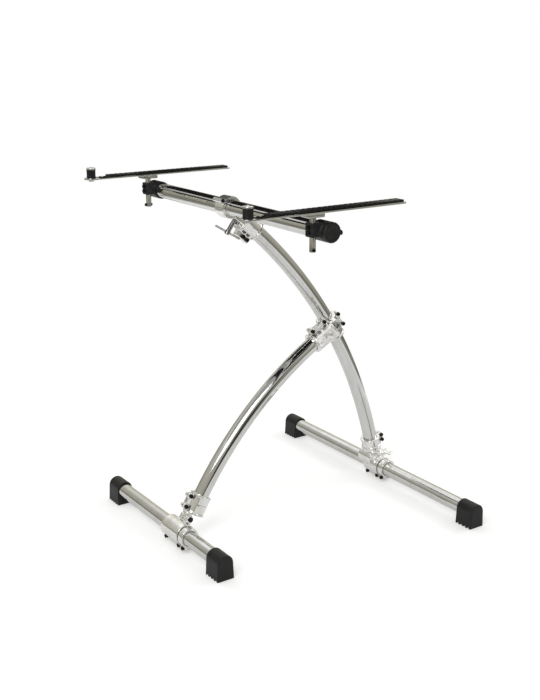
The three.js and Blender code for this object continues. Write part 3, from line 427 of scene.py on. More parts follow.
def capped(side, end, edge):
    """Distance to a rounded solid from the distances to its side and its ends, both drawn in by the edge."""
    return np.minimum(np.maximum(side, end), 0) + np.hypot(np.maximum(side, 0), np.maximum(end, 0)) - edge


def rod(axis, radius, low, high, at=(0, 0), edge=0.0):
    """Solid cylinder along an axis; at gives the other two coordinates in X, Y, Z order."""
    along = "xyz".index(axis)
    others = [i for i in range(3) if i != along]

    def field(p):
        side = np.hypot(p[:, others[0]] - at[0], p[:, others[1]] - at[1]) - radius + edge
        return capped(side, np.maximum(low - p[:, along], p[:, along] - high) + edge, edge)
    return field


def brick(low, high, edge=0.0):
    low, high = np.array(low, float), np.array(high, float)
    centre, half = (low + high) / 2, (high - low) / 2 - edge

    def field(p):
        q = np.abs(p - centre) - half
        return np.linalg.norm(np.maximum(q, 0), axis=1) + np.minimum(q.max(axis=1), 0) - edge
    return field


def prism(outline, half, edge):
    """Plate with its outline in X-Y and its half thickness along Z."""
    corners = np.array(outline, float)
    nexts = np.roll(corners, -1, axis=0)

    def field(p):
        x, y = p[:, 0], p[:, 1]
        best = np.full(len(p), np.inf)
        sign = np.ones(len(p))
        for (ax, ay), (bx, by) in zip(corners, nexts):
            ex, ey, wx, wy = bx - ax, by - ay, x - ax, y - ay
            t = np.clip((wx * ex + wy * ey) / (ex * ex + ey * ey), 0, 1)
            best = np.minimum(best, (wx - ex * t) ** 2 + (wy - ey * t) ** 2)
            one, two, three = y >= ay, y < by, ex * wy > ey * wx
            sign[(one & two & three) | (~one & ~two & ~three)] *= -1
        return capped(sign * np.sqrt(best) + edge, np.abs(p[:, 2]) - half + edge, edge)
    return field


def tube_room(arc, low=None, high=None):
    """Room for the tube that follows a bend, between two angles if given."""
    radius = TUBE_RADIUS + GRIP

    def field(p):
        y, z = p[:, 1] - arc.y, p[:, 2] - arc.z
        side = np.hypot(np.hypot(y, z) - arc.radius, p[:, 0] - arc.x) - radius
        if low is None:
            return side
        angle = np.arctan2(z, y)
        return np.maximum(side, np.maximum(low - angle, angle - high) * arc.radius)
    return field


def half_space(place, axis, limit, sign):
    """Field that is inside where sign * coordinate is below sign * limit, in the frame."""
    row = np.linalg.inv(place)["xyz".index(axis)]
    return lambda p: sign * (p @ row[:3] + row[3] - limit)


# Meshes from fields

def slopes(field, points, probe):
    """Difference of the field across each point, along X, Y and Z."""
    return np.stack([
        field(points + probe * np.eye(3)[i]) - field(points - probe * np.eye(3)[i]) for i in range(3)
    ], 1)


def onto(field, vertices, step):
    """One step of each vertex along the field's slope to its zero."""
    probe = step * 0.05
    slope = slopes(field, vertices, probe) / (2 * probe)
    size = np.maximum((slope * slope).sum(1), 0.2)
    move = -field(vertices)[:, None] * slope / size[:, None]
    length = np.linalg.norm(move, axis=1, keepdims=True)
    return vertices + move * np.minimum(1, step / 2 / np.maximum(length, 1e-9))


def normals_of(field, vertices):
    slope = slopes(field, vertices, 0.03)
    return slope / np.maximum(np.linalg.norm(slope, axis=1, keepdims=True), 1e-9)


def surface(field, low, high, step):
    """Vertices and quads of the field's zero surface, pulled onto it exactly."""
    low, high = np.asarray(low, float) - 2 * step, np.asarray(high, float) + 2 * step
    counts = np.ceil((high - low) / step).astype(int) + 1
    axes = [low[i] + step * np.arange(counts[i]) for i in range(3)]
    grid = np.stack(np.meshgrid(*axes, indexing="ij"), -1)
    slabs = np.array_split(grid, max(1, counts[0] // 16))
    value = np.concatenate([field(slab.reshape(-1, 3)) for slab in slabs]).reshape(counts)
    value[value == 0] = 1e-9
    near, far = slice(0, -1), slice(1, None)
    corner = [value[tuple(far if bits >> i & 1 else near for i in range(3))] for bits in range(8)]
    negative = sum((c < 0).astype(int) for c in corner)
    active = (negative > 0) & (negative < 8)
    number = np.full(active.shape, -1)
    number[active] = np.arange(active.sum())
    base = np.argwhere(active)
    total = np.zeros((len(base), 3))
    hits = np.zeros(len(base))
    for bits in range(8):
        for i in range(3):
            if bits >> i & 1:
                continue
            a, b = corner[bits][active], corner[bits | 1 << i][active]
            crossing = (a < 0) != (b < 0)
            offset = np.array([bits >> n & 1 for n in range(3)], float)
            point = np.repeat(offset[None], crossing.sum(), 0)
            point[:, i] += a[crossing] / (a[crossing] - b[crossing])
            total[crossing] += point
            hits[crossing] += 1
    vertices = low + (base + total / hits[:, None]) * step
    quads = []
    for i in range(3):
        j, k = (i + 1) % 3, (i + 2) % 3
        a, b = (value[tuple(part if n == i else slice(None) for n in range(3))] for part in (near, far))
        for found, reverse in (((a < 0) & (b >= 0), False), ((a >= 0) & (b < 0), True)):
            at = np.argwhere(found)
            around = []
            for dj, dk in ((0, 0), (-1, 0), (-1, -1), (0, -1)):
                cell = at.copy()
                cell[:, j] += dj
                cell[:, k] += dk
                around.append(number[cell[:, 0], cell[:, 1], cell[:, 2]])
            quad = np.stack(around, 1)
            quads.append(quad[:, ::-1] if reverse else quad)
    for _ in range(3):
        vertices = onto(field, vertices, step)
    return vertices, np.concatenate(quads)


def mesh_object(name, vertices, faces, normals=None, smooth_angle=None):
    """Object from drawing points; faces is a list of index lists."""
    data = bpy.data.meshes.new(name)
    counts = np.array([len(f) for f in faces], np.int32)
    loops = np.concatenate([np.asarray(f, np.int32) for f in faces])
    data.vertices.add(len(vertices))
    data.vertices.foreach_set("co", to_frame(vertices).astype(np.float32).ravel())
    data.loops.add(len(loops))
    data.loops.foreach_set("vertex_index", loops)
    data.polygons.add(len(counts))
    data.polygons.foreach_set("loop_start", np.concatenate([[0], np.cumsum(counts)[:-1]]).astype(np.int32))
    data.polygons.foreach_set("loop_total", counts)
    data.update(calc_edges=True)
    data.validate()
    data.polygons.foreach_set("use_smooth", [True] * len(data.polygons))
    if smooth_angle is not None:
        data.set_sharp_from_angle(angle=math.radians(smooth_angle))
    if normals is not None:
        data.normals_split_custom_set_from_vertices(normals.tolist())
    made = bpy.data.objects.new(name, data)
    bpy.context.scene.collection.objects.link(made)
    return made


body_of_node = {n: b for b, members in frame["record"]["behaviour"]["bodies"].items() for n in members}


def dress(piece, node, material):
    """Puts a finished piece in the place of its CAD node."""
    piece.data.materials.append(material)
    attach(piece, body_of_node[node])
    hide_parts(node)
    return piece


def carve(node, field, material, step=CAST_STEP, place=WORLD):
    """Piece from a distance field, as large as its CAD node, on a grid that lies along the given frame."""
    low, high = ((np.array(c) - ORIGIN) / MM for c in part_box(node))
    back = np.linalg.inv(place)
    corners = np.array([[(low, high)[i >> n & 1][n] for n in range(3)] for i in range(8)])
    local = corners @ back[:3, :3].T + back[:3, 3]

    def turned(p):
        return field(p @ place[:3, :3].T + place[:3, 3])
    vertices, quads = surface(turned, local.min(0), local.max(0), step)
    vertices = vertices @ place[:3, :3].T + place[:3, 3]
    return dress(mesh_object(node + "_fine", vertices, quads, normals_of(field, vertices)), node, material)


# Turned, swept and flat meshes

def merged(*parts):
    """One list of vertices and faces from several."""
    vertices, faces, start = [], [], 0
    for points, polygons in parts:
        vertices.append(np.asarray(points, float))
        faces.extend([[i + start for i in f] for f in polygons])
        start += len(points)
    return np.concatenate(vertices), faces


def place_mesh(node, parts, material, smooth_angle=32):
    """Piece from plain meshes in the place of its CAD node."""
    return dress(mesh_object(node + "_fine", *merged(*parts), smooth_angle=smooth_angle), node, material)


def extra(name, body, parts, material):
    """Small piece that the CAD leaves to the looks."""
    made = mesh_object(name, *merged(*parts), smooth_angle=32)
    made.data.materials.append(material)
    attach(made, body)
    return made


def bands(rings, count, closed=False):
    """Quads between rings of so many points each; closed joins the last ring to the first."""
    faces = []
    for ring in range(rings if closed else rings - 1):
        a, b = ring * count, (ring + 1) % rings * count
        for i in range(count):
            j = (i + 1) % count
            faces.append([a + i, a + j, b + j, b + i])
    return faces


def rounded(profile, radius):
    """Profile with its corners turned into short arcs."""
    points = [np.array(p[:2], float) for p in profile]
    kinds = [p[2] if len(p) > 2 else "" for p in profile]
    made = [(*points[0], kinds[0])]
    for before, here, after, kind in zip(points, points[1:], points[2:], kinds[1:]):
        back, ahead = before - here, after - here
        reach = min(radius, 0.45 * np.linalg.norm(back), 0.45 * np.linalg.norm(ahead))
        start = here + back / max(np.linalg.norm(back), 1e-9) * reach
        end = here + ahead / max(np.linalg.norm(ahead), 1e-9) * reach
        for t in (0, 0.33, 0.67, 1):
            point = (1 - t) ** 2 * start + 2 * t * (1 - t) * here + t * t * end
            made.append((*point, kind))
    return made + [(*points[-1], kinds[-1])]


def lathe(place, profile, sides=48, soft=0.5):
    """Turned piece round the Z axis of a frame: radius, height and hex where the ring has six sides."""
    rings = rounded(profile, soft) if soft else profile
    angles = 2 * math.pi * np.arange(sides) / sides
    six = math.cos(math.pi / 6) / np.cos((angles + math.pi / 6) % (math.pi / 3) - math.pi / 6)
    points = []
    for radius, height, *kind in rings:
        reach = radius * (six if kind and kind[0] == "hex" else np.ones(sides))
        points.append(np.stack([reach * np.cos(angles), reach * np.sin(angles), np.full(sides, height)], 1))
    faces = bands(len(rings), sides)
    faces.append(list(range(sides))[::-1])
    faces.append([(len(rings) - 1) * sides + i for i in range(sides)])
    return np.concatenate(points) @ place[:3, :3].T + place[:3, 3], faces


def raised(profile, base):
    """The profile with its heights counted from a base."""
    return [(radius, base + height) for radius, height in profile]


def along_x(place, y, z):
    """Frame whose Z axis is X of the given frame, through y, z."""
    return place @ translate(0, y, z) @ turn("y", math.pi / 2)


def along_y(place, x, z):
    """Frame whose Z axis is Y of the given frame, through x, z."""
    return place @ translate(x, 0, z) @ turn("x", -math.pi / 2)


def socket_head(radius, height, face, hex_radius, depth):
    """Profile of a screw head with a hexagon socket, from its underside out."""
    top = face + height
    return [(radius, face), (radius, top), (hex_radius + SOCKET_EDGE, top),
            (hex_radius, top - SOCKET_EDGE, "hex"), (hex_radius, top - depth, "hex")]


def through_bolt(place, face):
    """Screw along Z of its frame, with a socket head above the one face and its end below the other."""
    head = socket_head(HEAD, HEAD_HEIGHT, face, HEAD_SOCKET, HEAD_SOCKET_DEPTH)
    shank = lathe(place, [(BOLT, -face - NUT_HEIGHT - SEAT), (BOLT, face)], 24, 0)
    return merged(lathe(place, [(BOLT, face - HEAD_BURIED)] + head, 48, 0.6), shank)


def hex_nut(place, face):
    """Nut on the far end of such a screw."""
    far = -face - NUT_HEIGHT
    return lathe(place, [
        (BOLT, far + 0.6), (BOLT + 0.6, far), (NUT * NUT_FACE_SHARE, far), (NUT, far + 0.8, "hex"),
        (NUT, -face - 0.5, "hex"), (NUT * NUT_FACE_SHARE, -face)], 48, 0)


def sweep(frames, radii):
    """Closed skin through rings; each ring is a frame (its X and Y axes span the ring) and a radius."""
    angles = 2 * math.pi * np.arange(TUBE_SIDES) / TUBE_SIDES
    ring = np.stack([np.cos(angles), np.sin(angles), np.zeros(TUBE_SIDES)], 1)
    points = np.concatenate([radius * ring @ f[:3, :3].T + f[:3, 3] for f, radius in zip(frames, radii)])
    return points, bands(len(frames), TUBE_SIDES, closed=True)


def tube(along, start, stop, steps):
    """Open tube with softened ends; along(t) gives the frame at distance t."""
    lips = [TUBE_LIP, TUBE_LIP * 0.3, 0]
    outer = [start, start + TUBE_LIP * 0.3, start + TUBE_LIP] + list(np.linspace(start, stop, steps)[1:-1]) + [
        stop - TUBE_LIP, stop - TUBE_LIP * 0.3, stop]
    outer_radii = [TUBE_RADIUS - lip for lip in lips] + [TUBE_RADIUS] * (steps - 2) + [
        TUBE_RADIUS - lip for lip in lips[::-1]]
    inner = [stop, stop - TUBE_LIP * 0.5] + list(np.linspace(stop, start, max(6, steps // 3))[1:-1]) + [
        start + TUBE_LIP * 0.5, start]
    bore = TUBE_RADIUS - TUBE_WALL
    inner_radii = [bore + TUBE_LIP * 0.5] + [bore] * (len(inner) - 2) + [bore + TUBE_LIP * 0.5]
    return sweep([along(t) for t in outer + inner], outer_radii + inner_radii)


def slab_box(low, high, radius, segments=3):
    """Box mesh with rounded edges."""
    low, high = np.array(low, float), np.array(high, float)
    centre, half = (low + high) / 2, (high - low) / 2
    radius = min(radius, half.min() * 0.98)
    points, faces, lookup = [], [], {}

    def vertex(direction, sides):
        key = tuple(np.round(direction, 6)) + tuple(sides)
        if key not in lookup:
            lookup[key] = len(points)
            points.append(centre + (half - radius) * sides + radius * direction)
        return lookup[key]

    ticks = np.tan(np.linspace(-math.pi / 4, math.pi / 4, 2 * segments + 1))
    order = [(t, -1 if k < segments else 1) for k, t in enumerate(ticks)]
    order = order[:segments] + [(0.0, -1), (0.0, 1)] + order[segments + 1:]
    for axis in range(3):
        j, k = (axis + 1) % 3, (axis + 2) % 3
        for sign in (-1, 1):
            rows = []
            for u, su in order:
                row = []
                for v, sv in order:
                    direction, sides = np.zeros(3), np.zeros(3)
                    direction[axis], direction[j], direction[k] = sign, u, v
                    sides[axis], sides[j], sides[k] = sign, su, sv
                    row.append(vertex(direction / np.linalg.norm(direction), sides))
                rows.append(row)
            for m in range(len(order) - 1):
                for n in range(len(order) - 1):
                    quad = [rows[m][n], rows[m + 1][n], rows[m + 1][n + 1], rows[m][n + 1]]
                    if len(set(quad)) == 4:
                        faces.append(quad if sign > 0 else quad[::-1])
    return np.array(points), faces


# Castings

def clamp_form(length, place, bolts=()):
    """Shell with rims at its ends and, where it has screws, lobed lugs."""
    half = length / 2
    parts = [rod("z", SHELL, -half, half, edge=EDGE)]
    parts += [rod("z", RIM, *span, edge=EDGE) for span in ((-half, RIM_WIDTH - half), (half - RIM_WIDTH, half))]
    if bolts:
        low, high = min(bolts) - WEB_END, max(bolts) + WEB_END
        side = LUG_HALF - WEB_INSET
        parts.append(brick((-side, WEB_START, low), (side, LUG_BOLT + WEB_PAST, high), EDGE))
    parts += [rod("x", LOBE, -LUG_HALF, LUG_HALF, (LUG_BOLT, z), EDGE) for z in bolts]
    return inside(place, joined(SOFT, *parts))


def knuckles(place, radius, spans, edge=0.0):
    """Hinge knuckles on the inner side of a split clamp."""
    return inside(place, joined(0, *[rod("z", radius, a, b, (0, -KNUCKLE_REACH), edge) for a, b in spans]))


def clamp_half(length, spacing, side, place, arc):
    """One half of a hinged clamp."""
    third = (length - 2 * RIM_WIDTH) / 3
    end = 1.5 * third - SEAT
    middle, outer = [(-third / 2, third / 2)], [(-end, -third / 2 - SEAT), (third / 2 + SEAT, end)]
    mine, other = (middle, outer) if side > 0 else (outer, middle)
    whole = clamp_form(length, place, (-spacing / 2, spacing / 2))
    form = common(EDGE, whole, half_space(place, "x", SPLIT * side, -side))
    room = [(a - KNUCKLE_PLAY, b + KNUCKLE_PLAY) for a, b in other]
    notched = cut(CUT_EDGE, form, knuckles(place, KNUCKLE + KNUCKLE_ROOM, room))
    body = joined(KNUCKLE_FILLET, notched, knuckles(place, KNUCKLE, mine, KNUCKLE_EDGE))
    return cut(CREASE, body, tube_room(arc))


def flat_panels(place, length, side):
    """Two shallow flats on one side of a shell, with a rib between them."""
    low, high = sorted((PANEL_AT * side, (PANEL_AT + PANEL_CUT) * side))
    end = length / 2 - RIM_WIDTH - 1
    spans = ((-end, -PANEL_RIB / 2), (PANEL_RIB / 2, end))
    return inside(place, joined(0, *[
        brick((low, -PANEL_HALF, a), (high, PANEL_HALF, b), CUT_EDGE) for a, b in spans]))


def centre_base():
    half = clamp_half(CENTRE_CLAMP, CENTRE_SPACING, 1, centre_place, main_arc)
    boss = rod("x", PIVOT_BOSS, *PIVOT_BOSS_SPAN, PIVOT, PIVOT_EDGE)
    screw = rod("x", PIVOT_SHANK + SEAT, PIVOT_START, PAST, PIVOT)
    return cut(CREASE, joined(PIVOT_FILLET, half, boss), tube_room(main_arc), screw)


def head_base():
    """Half of the head clamp with the arm and ear that turn on the pivot."""
    half = clamp_half(HEAD_CLAMP, HEAD_SPACING, -1, head_place, brace_arc)
    near, far = PIVOT_EAR
    ear = rod("x", PIVOT_BOSS, near, far, PIVOT, PIVOT_EDGE)
    socket = head_place[1:3, 3]
    lean = math.atan2(PIVOT[1] - socket[1], PIVOT[0] - socket[0])
    length = math.hypot(PIVOT[1] - socket[1], PIVOT[0] - socket[0])
    along = translate(0, *socket) @ turn("x", lean)
    arm = inside(along, brick((near, 0, -PIVOT_EAR_HALF), (far, length, PIVOT_EAR_HALF), PIVOT_EDGE))
    body = joined(PIVOT_FILLET, half, joined(SOFT, ear, arm))
    screw = rod("x", PIVOT_SHANK + PIN_PLAY, near - PAST, far + PAST, PIVOT)
    return cut(CREASE, body, tube_room(brace_arc), screw)


def clamp_cap(length, spacing, side, place, arc):
    """Half of a hinged clamp with two flats."""
    return cut(CUT_EDGE, clamp_half(length, spacing, side, place, arc), flat_panels(place, length, side))


def split_ring(length, spacing, place, arc):
    form = clamp_form(length, place, (-spacing / 2, spacing / 2))
    slit = inside(place, brick((-SLIT, 0, -length), (SLIT, SLIT_DEPTH, length)))
    return cut(CUT_EDGE, form, slit, tube_room(arc))


def foot_clamp():
    """Clamp on the brace's lower end, with a tongue for the hinge."""
    y, z = (np.linalg.inv(foot_place) @ np.array([BRACE_SIDE, *HINGE, 1]))[1:3]
    half = FOOT_CLAMP / 2
    form = clamp_form(FOOT_CLAMP, foot_place, (-FOOT_SPACING / 2, FOOT_SPACING / 2))
    backs = inside(foot_place, joined(CUT_EDGE, *[
        rod("z", KNUCKLE + FOOT_KNUCKLE_MORE, a, b, (0, FOOT_KNUCKLE_IN - KNUCKLE_REACH), FOOT_KNUCKLE_EDGE)
        for a, b in FOOT_KNUCKLES]))
    root = (-TONGUE_HALF, y - TONGUE_EYE, half - SLIT_STOP)
    web = inside(foot_place, brick(root, (TONGUE_HALF, SHELL, half + SLIT_STOP), EDGE))
    tongue = inside(foot_place, brick(root, (TONGUE_HALF, y + TONGUE_EYE, z), EDGE))
    eye = inside(foot_place, rod("x", TONGUE_EYE, -TONGUE_HALF, TONGUE_HALF, (y, z), EDGE))
    body = joined(SOFT, form, joined(2, web, tongue, eye), backs)
    slit = inside(foot_place, brick((-SLIT, 0, -FOOT_CLAMP), (SLIT, SLIT_DEPTH, half - SLIT_STOP)))
    bore = tube_room(brace_arc, -OPEN_END, brace_arc.low + GRIP / BRACE_BEND)
    pin = rod("x", HINGE_PIN + PIN_PLAY, *HINGE_ROOM, HINGE)
    windows = [flat_panels(foot_place, FOOT_CLAMP, side) for side in (-1, 1)]
    return cut(CUT_EDGE, body, slit, bore, pin, *windows)


def floor_ring(radius, left, right, axis, bolts):
    """Ring on a floor bar with lobed lugs below it, and the fields of its slit and its screw seats."""
    front, back = axis - FLOOR_LUG, axis + FLOOR_LUG
    ring = rod("x", radius, left, right, (axis, BAR_HEIGHT), RING_EDGE)
    lugs = brick((left, front, FLOOR_LUG_LOW), (right, back, FLOOR_LUG_TOP), RING_EDGE)
    bosses = [rod("y", FLOOR_LOBE, front, back, (x, FLOOR_LOBE_HEIGHT), EDGE) for x in bolts]
    slit = brick((left - SLIT_PAST, axis - SLIT, -SLIT_PAST), (right + SLIT_PAST, axis + SLIT, BAR_HEIGHT))
    spans = ((back, back + FLOOR_SEAT_DEPTH), (front - FLOOR_SEAT_DEPTH, front))
    seats = [rod("y", FLOOR_LOBE, *span, (x, FLOOR_SCREW_HEIGHT)) for x in bolts for span in spans]
    return joined(SOFT, ring, lugs, *bosses), slit, joined(0, *seats)


def bar_bore(play, left, right, axis):
    return rod("x", TUBE_RADIUS + play, left - PAST, right + PAST, axis)


def front_clamp():
    """Floor clamp with the fork of the brace's hinge."""
    body, slit, seats = floor_ring(FLOOR_CLAMP, *FRONT_CLAMP, FRONT_AXIS[0], FRONT_BOLTS)
    along = translate(BRACE_SIDE, *FRONT_AXIS) @ turn("x", FORK_LEAN)
    ears = []
    for low, high in ((-FORK_FAR, -FORK_NEAR), (FORK_NEAR, FORK_FAR)):
        plate = inside(along, brick((low, 0, -TONGUE_EYE), (high, FORK_REACH, TONGUE_EYE), EDGE))
        eye = rod("x", TONGUE_EYE, BRACE_SIDE + low, BRACE_SIDE + high, HINGE, EDGE)
        ears.append(joined(CREASE, plate, eye))
    gap = inside(along, brick((-FORK_NEAR, FORK_FLOOR, -FORK_GAP_HALF), (FORK_NEAR, PAST, FORK_GAP_HALF), 0.4))
    pin = rod("x", HINGE_PIN + SEAT, *HINGE_ROOM, HINGE)
    bore = bar_bore(GRIP, *FRONT_CLAMP, FRONT_AXIS)
    return cut(CUT_EDGE, joined(SOFT, body, *ears), slit, bore, seats, gap, pin)


def stop_ring(left, axis):
    right = left + STOP_LENGTH
    body, slit, seats = floor_ring(STOP_RING, left, right, axis[0], ((left + right) / 2,))
    return cut(CUT_EDGE, body, slit, bar_bore(GRIP, left, right, axis), seats)


def rear_body():
    """Floor clamp with a disc, the mast's socket and the boss of the wing screw."""
    body, slit, seats = floor_ring(FLOOR_CLAMP, *REAR_CLAMP, REAR_AXIS[0], REAR_BOLTS)
    disc = rod("x", DISC, -DISC_HALF, DISC_HALF, (REAR_AXIS[0] - DISC_AHEAD, BAR_HEIGHT + DISC_UP), DISC_EDGE)
    socket = inside(main_arc.above(SOCKET_STATION), rod("z", SHELL, 0, SOCKET_LENGTH, edge=EDGE))
    boss = inside(wing_place, rod("y", *WING_BOSS, (WING_SIDE, 0), 0.8))
    inner = tube_room(main_arc, main_arc.low + MAIN_START / MAIN_BEND, OPEN_END)
    bore = bar_bore(SEAT, *REAR_CLAMP, REAR_AXIS)
    return cut(CUT_EDGE, joined(SOFT, body, disc, socket, boss), slit, bore, seats, inner)


def top_rods(radius, *spans, edge=0.0):
    """Round pieces or rooms on the hinge of the top clamp's jaw."""
    return inside(top_place, joined(0, *[rod("x", radius, a, b, JAW_HINGE, edge) for a, b in spans]))


def top_half(limit, sign, lugs, *rooms):
    """Ring and lugs on one side of the top clamp's split, with rooms for the other side's knuckles."""
    ring = rod("x", TOP_RING, *TOP_SPAN, edge=TOP_EDGE)
    form = inside(top_place, joined(SOFT, ring, *[brick(*lug) for lug in lugs]))
    half = common(1.0, form, half_space(top_place, "y", limit, sign))
    return cut(CUT_EDGE, half, top_rods(JAW_KNUCKLE_ROOM, *rooms))


def top_rooms():
    """What the bar and the tee screw take out of the top clamp."""
    bar = inside(top_place, rod("x", TUBE_RADIUS + SEAT, -PAST, PAST))
    return bar, inside(top_place, rod("y", TEE_ROOM, -PAST, PAST, TEE_AXIS))


def top_body():
    """Fixed half of the top clamp, with the mast's socket."""
    left, right = TOP_SPAN
    start, stop = JAW_KNUCKLE_SPAN
    socket_place = main_arc.below(TOP_SOCKET_STATION)
    half = top_half(-TOP_SPLIT, 1, BODY_LUGS, (start, stop))
    pins = top_rods(JAW_KNUCKLE, (left, start), (stop, right), edge=KNUCKLE_EDGE)
    flat = inside(socket_place, brick((-LUG_HALF, -TOP_FLAT_REACH, -TOP_FLAT_HALF),
                                      (LUG_HALF, -WEB_START, TOP_FLAT_HALF), PIVOT_EDGE))
    slit = inside(socket_place, brick((-SLIT, -SLIT_DEPTH, -PAST), (SLIT, 0, TOP_SOCKET / 2 - SLIT_STOP)))
    tube_end = main_arc.high - (MAIN_STOP - 1) / MAIN_BEND
    bore = tube_room(main_arc, -OPEN_END, tube_end)
    socket = joined(SOFT, clamp_form(TOP_SOCKET, socket_place), flat)
    form = joined(KNUCKLE_FILLET, joined(SOFT, half, socket), pins)
    return cut(CUT_EDGE, form, slit, bore, *top_rooms())


def top_jaw():
    """Hinged half of the top clamp."""
    start, stop = JAW_KNUCKLE_SPAN[0] + SEAT, JAW_KNUCKLE_SPAN[1] - SEAT
    half = top_half(TOP_SPLIT, -1, JAW_LUGS, (-PAST, start), (stop, PAST))
    form = joined(KNUCKLE_FILLET, half, top_rods(JAW_KNUCKLE, (start, stop), edge=KNUCKLE_EDGE))
    return cut(CUT_EDGE, form, *top_rooms())


def wing_field():
    at = (WING_SIDE, 0)
    plate = inside(wing_place @ translate(WING_SIDE, WING_AT, 0), prism(WING_OUTLINE, WING_HALF, 1.2))
    hub = inside(wing_place, rod("y", *WING_HUB, at, 1.0))
    screw = inside(wing_place, rod("y", *WING_SCREW, at))
    return joined(1.2, joined(2.5, plate, hub), screw)


def tee_field():
    screw = inside(top_place, rod("y", *TEE_SCREW, TEE_AXIS, 0.5))
    stem = inside(top_place, rod("y", *TEE_STEM, TEE_AXIS, 0.8))
    hub = inside(top_place, rod("y", *TEE_HUB, TEE_AXIS, 1.4))
    turned = top_place @ translate(0, (TEE_HUB[1] + TEE_HUB[2]) / 2, TEE_AXIS[1]) @ turn("y", TEE_BAR_TURN)
    handle = inside(turned, rod("x", TEE_BAR, -TEE_BAR_HALF, TEE_BAR_HALF, edge=1.6))
    return joined(1.0, screw, joined(1.5, stem, hub, handle))


def foot_field(bar_half, outward, axis):
    """Rubber foot: an arch on a broad base with teeth under it."""
    to_corner = math.hypot(FOOT_SOLE_HALF, FOOT_CENTRE)
    angle = math.acos(FOOT_RADIUS / to_corner) - math.atan2(FOOT_CENTRE, FOOT_SOLE_HALF)
    normal = np.array([math.cos(angle), math.sin(angle)])
    tangent = np.array([-normal[1], normal[0]])
    inner = bar_half - FOOT_OVER_BAR
    left = inner if outward > 0 else -inner - FOOT_LENGTH
    right = left + FOOT_LENGTH

    def arch(p):
        y, z = np.abs(p[:, 1] - axis), p[:, 2] - FOOT_CENTRE
        along = y * tangent[0] + z * tangent[1]
        flat = y * normal[0] + z * normal[1]
        side = np.where(along > 0, np.hypot(y, z), flat) - FOOT_RADIUS + FOOT_EDGE
        end = np.maximum(left - p[:, 0], p[:, 0] - right) + FOOT_EDGE
        lid = np.maximum(np.maximum(side, end), -p[:, 2] + FOOT_BASE_EDGE)
        outer = np.sqrt(np.maximum(side, 0) ** 2 + np.maximum(end, 0) ** 2)
        return np.maximum(np.where(lid < 0, lid, outer) - FOOT_EDGE, -p[:, 2])
    pitch = FOOT_LENGTH / FOOT_TEETH
    grooves = []
    for index in range(FOOT_GROOVES):
        start = left + pitch * (index + 0.5)
        grooves.append(brick((start, axis - PAST, -OPEN_END),
                             (start + pitch / 2, axis + PAST, FOOT_GROOVE_HEIGHT), RUBBER_EDGE))
    span = (left - PAST, right - FOOT_WALL) if outward > 0 else (left + FOOT_WALL, right + PAST)
    bore = rod("x", TUBE_RADIUS + SEAT, *span, (axis, BAR_HEIGHT))
    return cut(RUBBER_EDGE, arch, bore, *grooves)


def end_clamp_field(x):
    """Plastic ring on the top bar with a boss for the upright rod."""
    axis_y, axis_z = TOP_AXIS
    ring = rod("x", END_RING, x - END_RING_HALF, x + END_RING_HALF, TOP_AXIS, END_RING_EDGE)
    boss = brick((x - END_BOSS_HALF, END_FACE, axis_z - END_BOSS_LOW),
                 (x + END_BOSS_HALF, axis_y - END_BOSS_BACK, axis_z + END_BOSS_TOP), 2.4)
    back = brick((x - END_BACK_HALF, axis_y + END_BACK[0], axis_z + END_BACK_HEIGHT[0]),
                 (x + END_BACK_HALF, axis_y + END_BACK[1], axis_z + END_BACK_HEIGHT[1]), 1.6)
    room = rod("z", ROD_ROOM, axis_z - PAST, axis_z + PAST, (x, ROD_Y))
    return cut(RUBBER_EDGE, joined(END_BLEND, ring, boss, back), bar_bore(SEAT, x, x, TOP_AXIS), room)


# Materials

class Nodes:
    """Small helper round a node tree."""

    def __init__(self, tree):
        self.tree = tree

    def node(self, kind, inputs=None, **settings):
        made = self.tree.nodes.new(kind)
        for key, value in settings.items():
            setattr(made, key, value)
        for key, value in (inputs or {}).items():
            if isinstance(value, bpy.types.NodeSocket):
                self.tree.links.new(value, made.inputs[key])
            else:
                made.inputs[key].default_value = value
        return made

    def math(self, kind, a, b):
        return self.node("ShaderNodeMath", {0: a, 1: b}, operation=kind).outputs[0]

    def seen(self):
        """One for rays from the camera, from a mirror and through glass."""
        path = self.node("ShaderNodeLightPath").outputs
        mirrored = self.math("MAXIMUM", path["Is Glossy Ray"], path["Is Transmission Ray"])
        return path["Is Camera Ray"], self.math("MAXIMUM", path["Is Camera Ray"], mirrored)


class Graph(Nodes):
    """A material and its node tree."""

    def __init__(self, name):
        self.material = bpy.data.materials.new(name)
        self.material.use_nodes = True
        super().__init__(self.material.node_tree)
        self.shader = self.tree.nodes["Principled BSDF"]
        self.out = self.tree.nodes["Material Output"]
        self.place = self.node("ShaderNodeTexCoord").outputs["Object"]

    def noise(self, scale, detail=2.0, rough=0.5, stretch=None, distort=0.0):
        place = self.place
        if stretch:
            place = self.node("ShaderNodeMapping", {"Vector": place, "Scale": stretch}).outputs["Vector"]
        return self.node("ShaderNodeTexNoise", {
            "Vector": place, "Scale": scale, "Detail": detail, "Roughness": rough, "Distortion": distort,
        }).outputs["Fac"]

    def ramp(self, value, low, high, to_low, to_high, **settings):
        return self.node("ShaderNodeMapRange", {
            "Value": value, "From Min": low, "From Max": high, "To Min": to_low, "To Max": to_high,
        }, **settings).outputs["Result"]

    def colours(self, factor, first, second):
        mixed = self.node("ShaderNodeMix", {"Factor": factor}, data_type="RGBA")
        mixed.inputs["A"].default_value = (*first, 1)
        mixed.inputs["B"].default_value = (*second, 1)
        return mixed.outputs["Result"]

    def bump(self, height, strength, distance, before=None):
        inputs = {"Height": height, "Strength": strength, "Distance": distance}
        if before is not None:
            inputs["Normal"] = before
        return self.node("ShaderNodeBump", inputs).outputs["Normal"]

    def wire(self, **links):
        for key, value in links.items():
            self.tree.links.new(value, self.shader.inputs[key.replace("_", " ")])
        return self.material


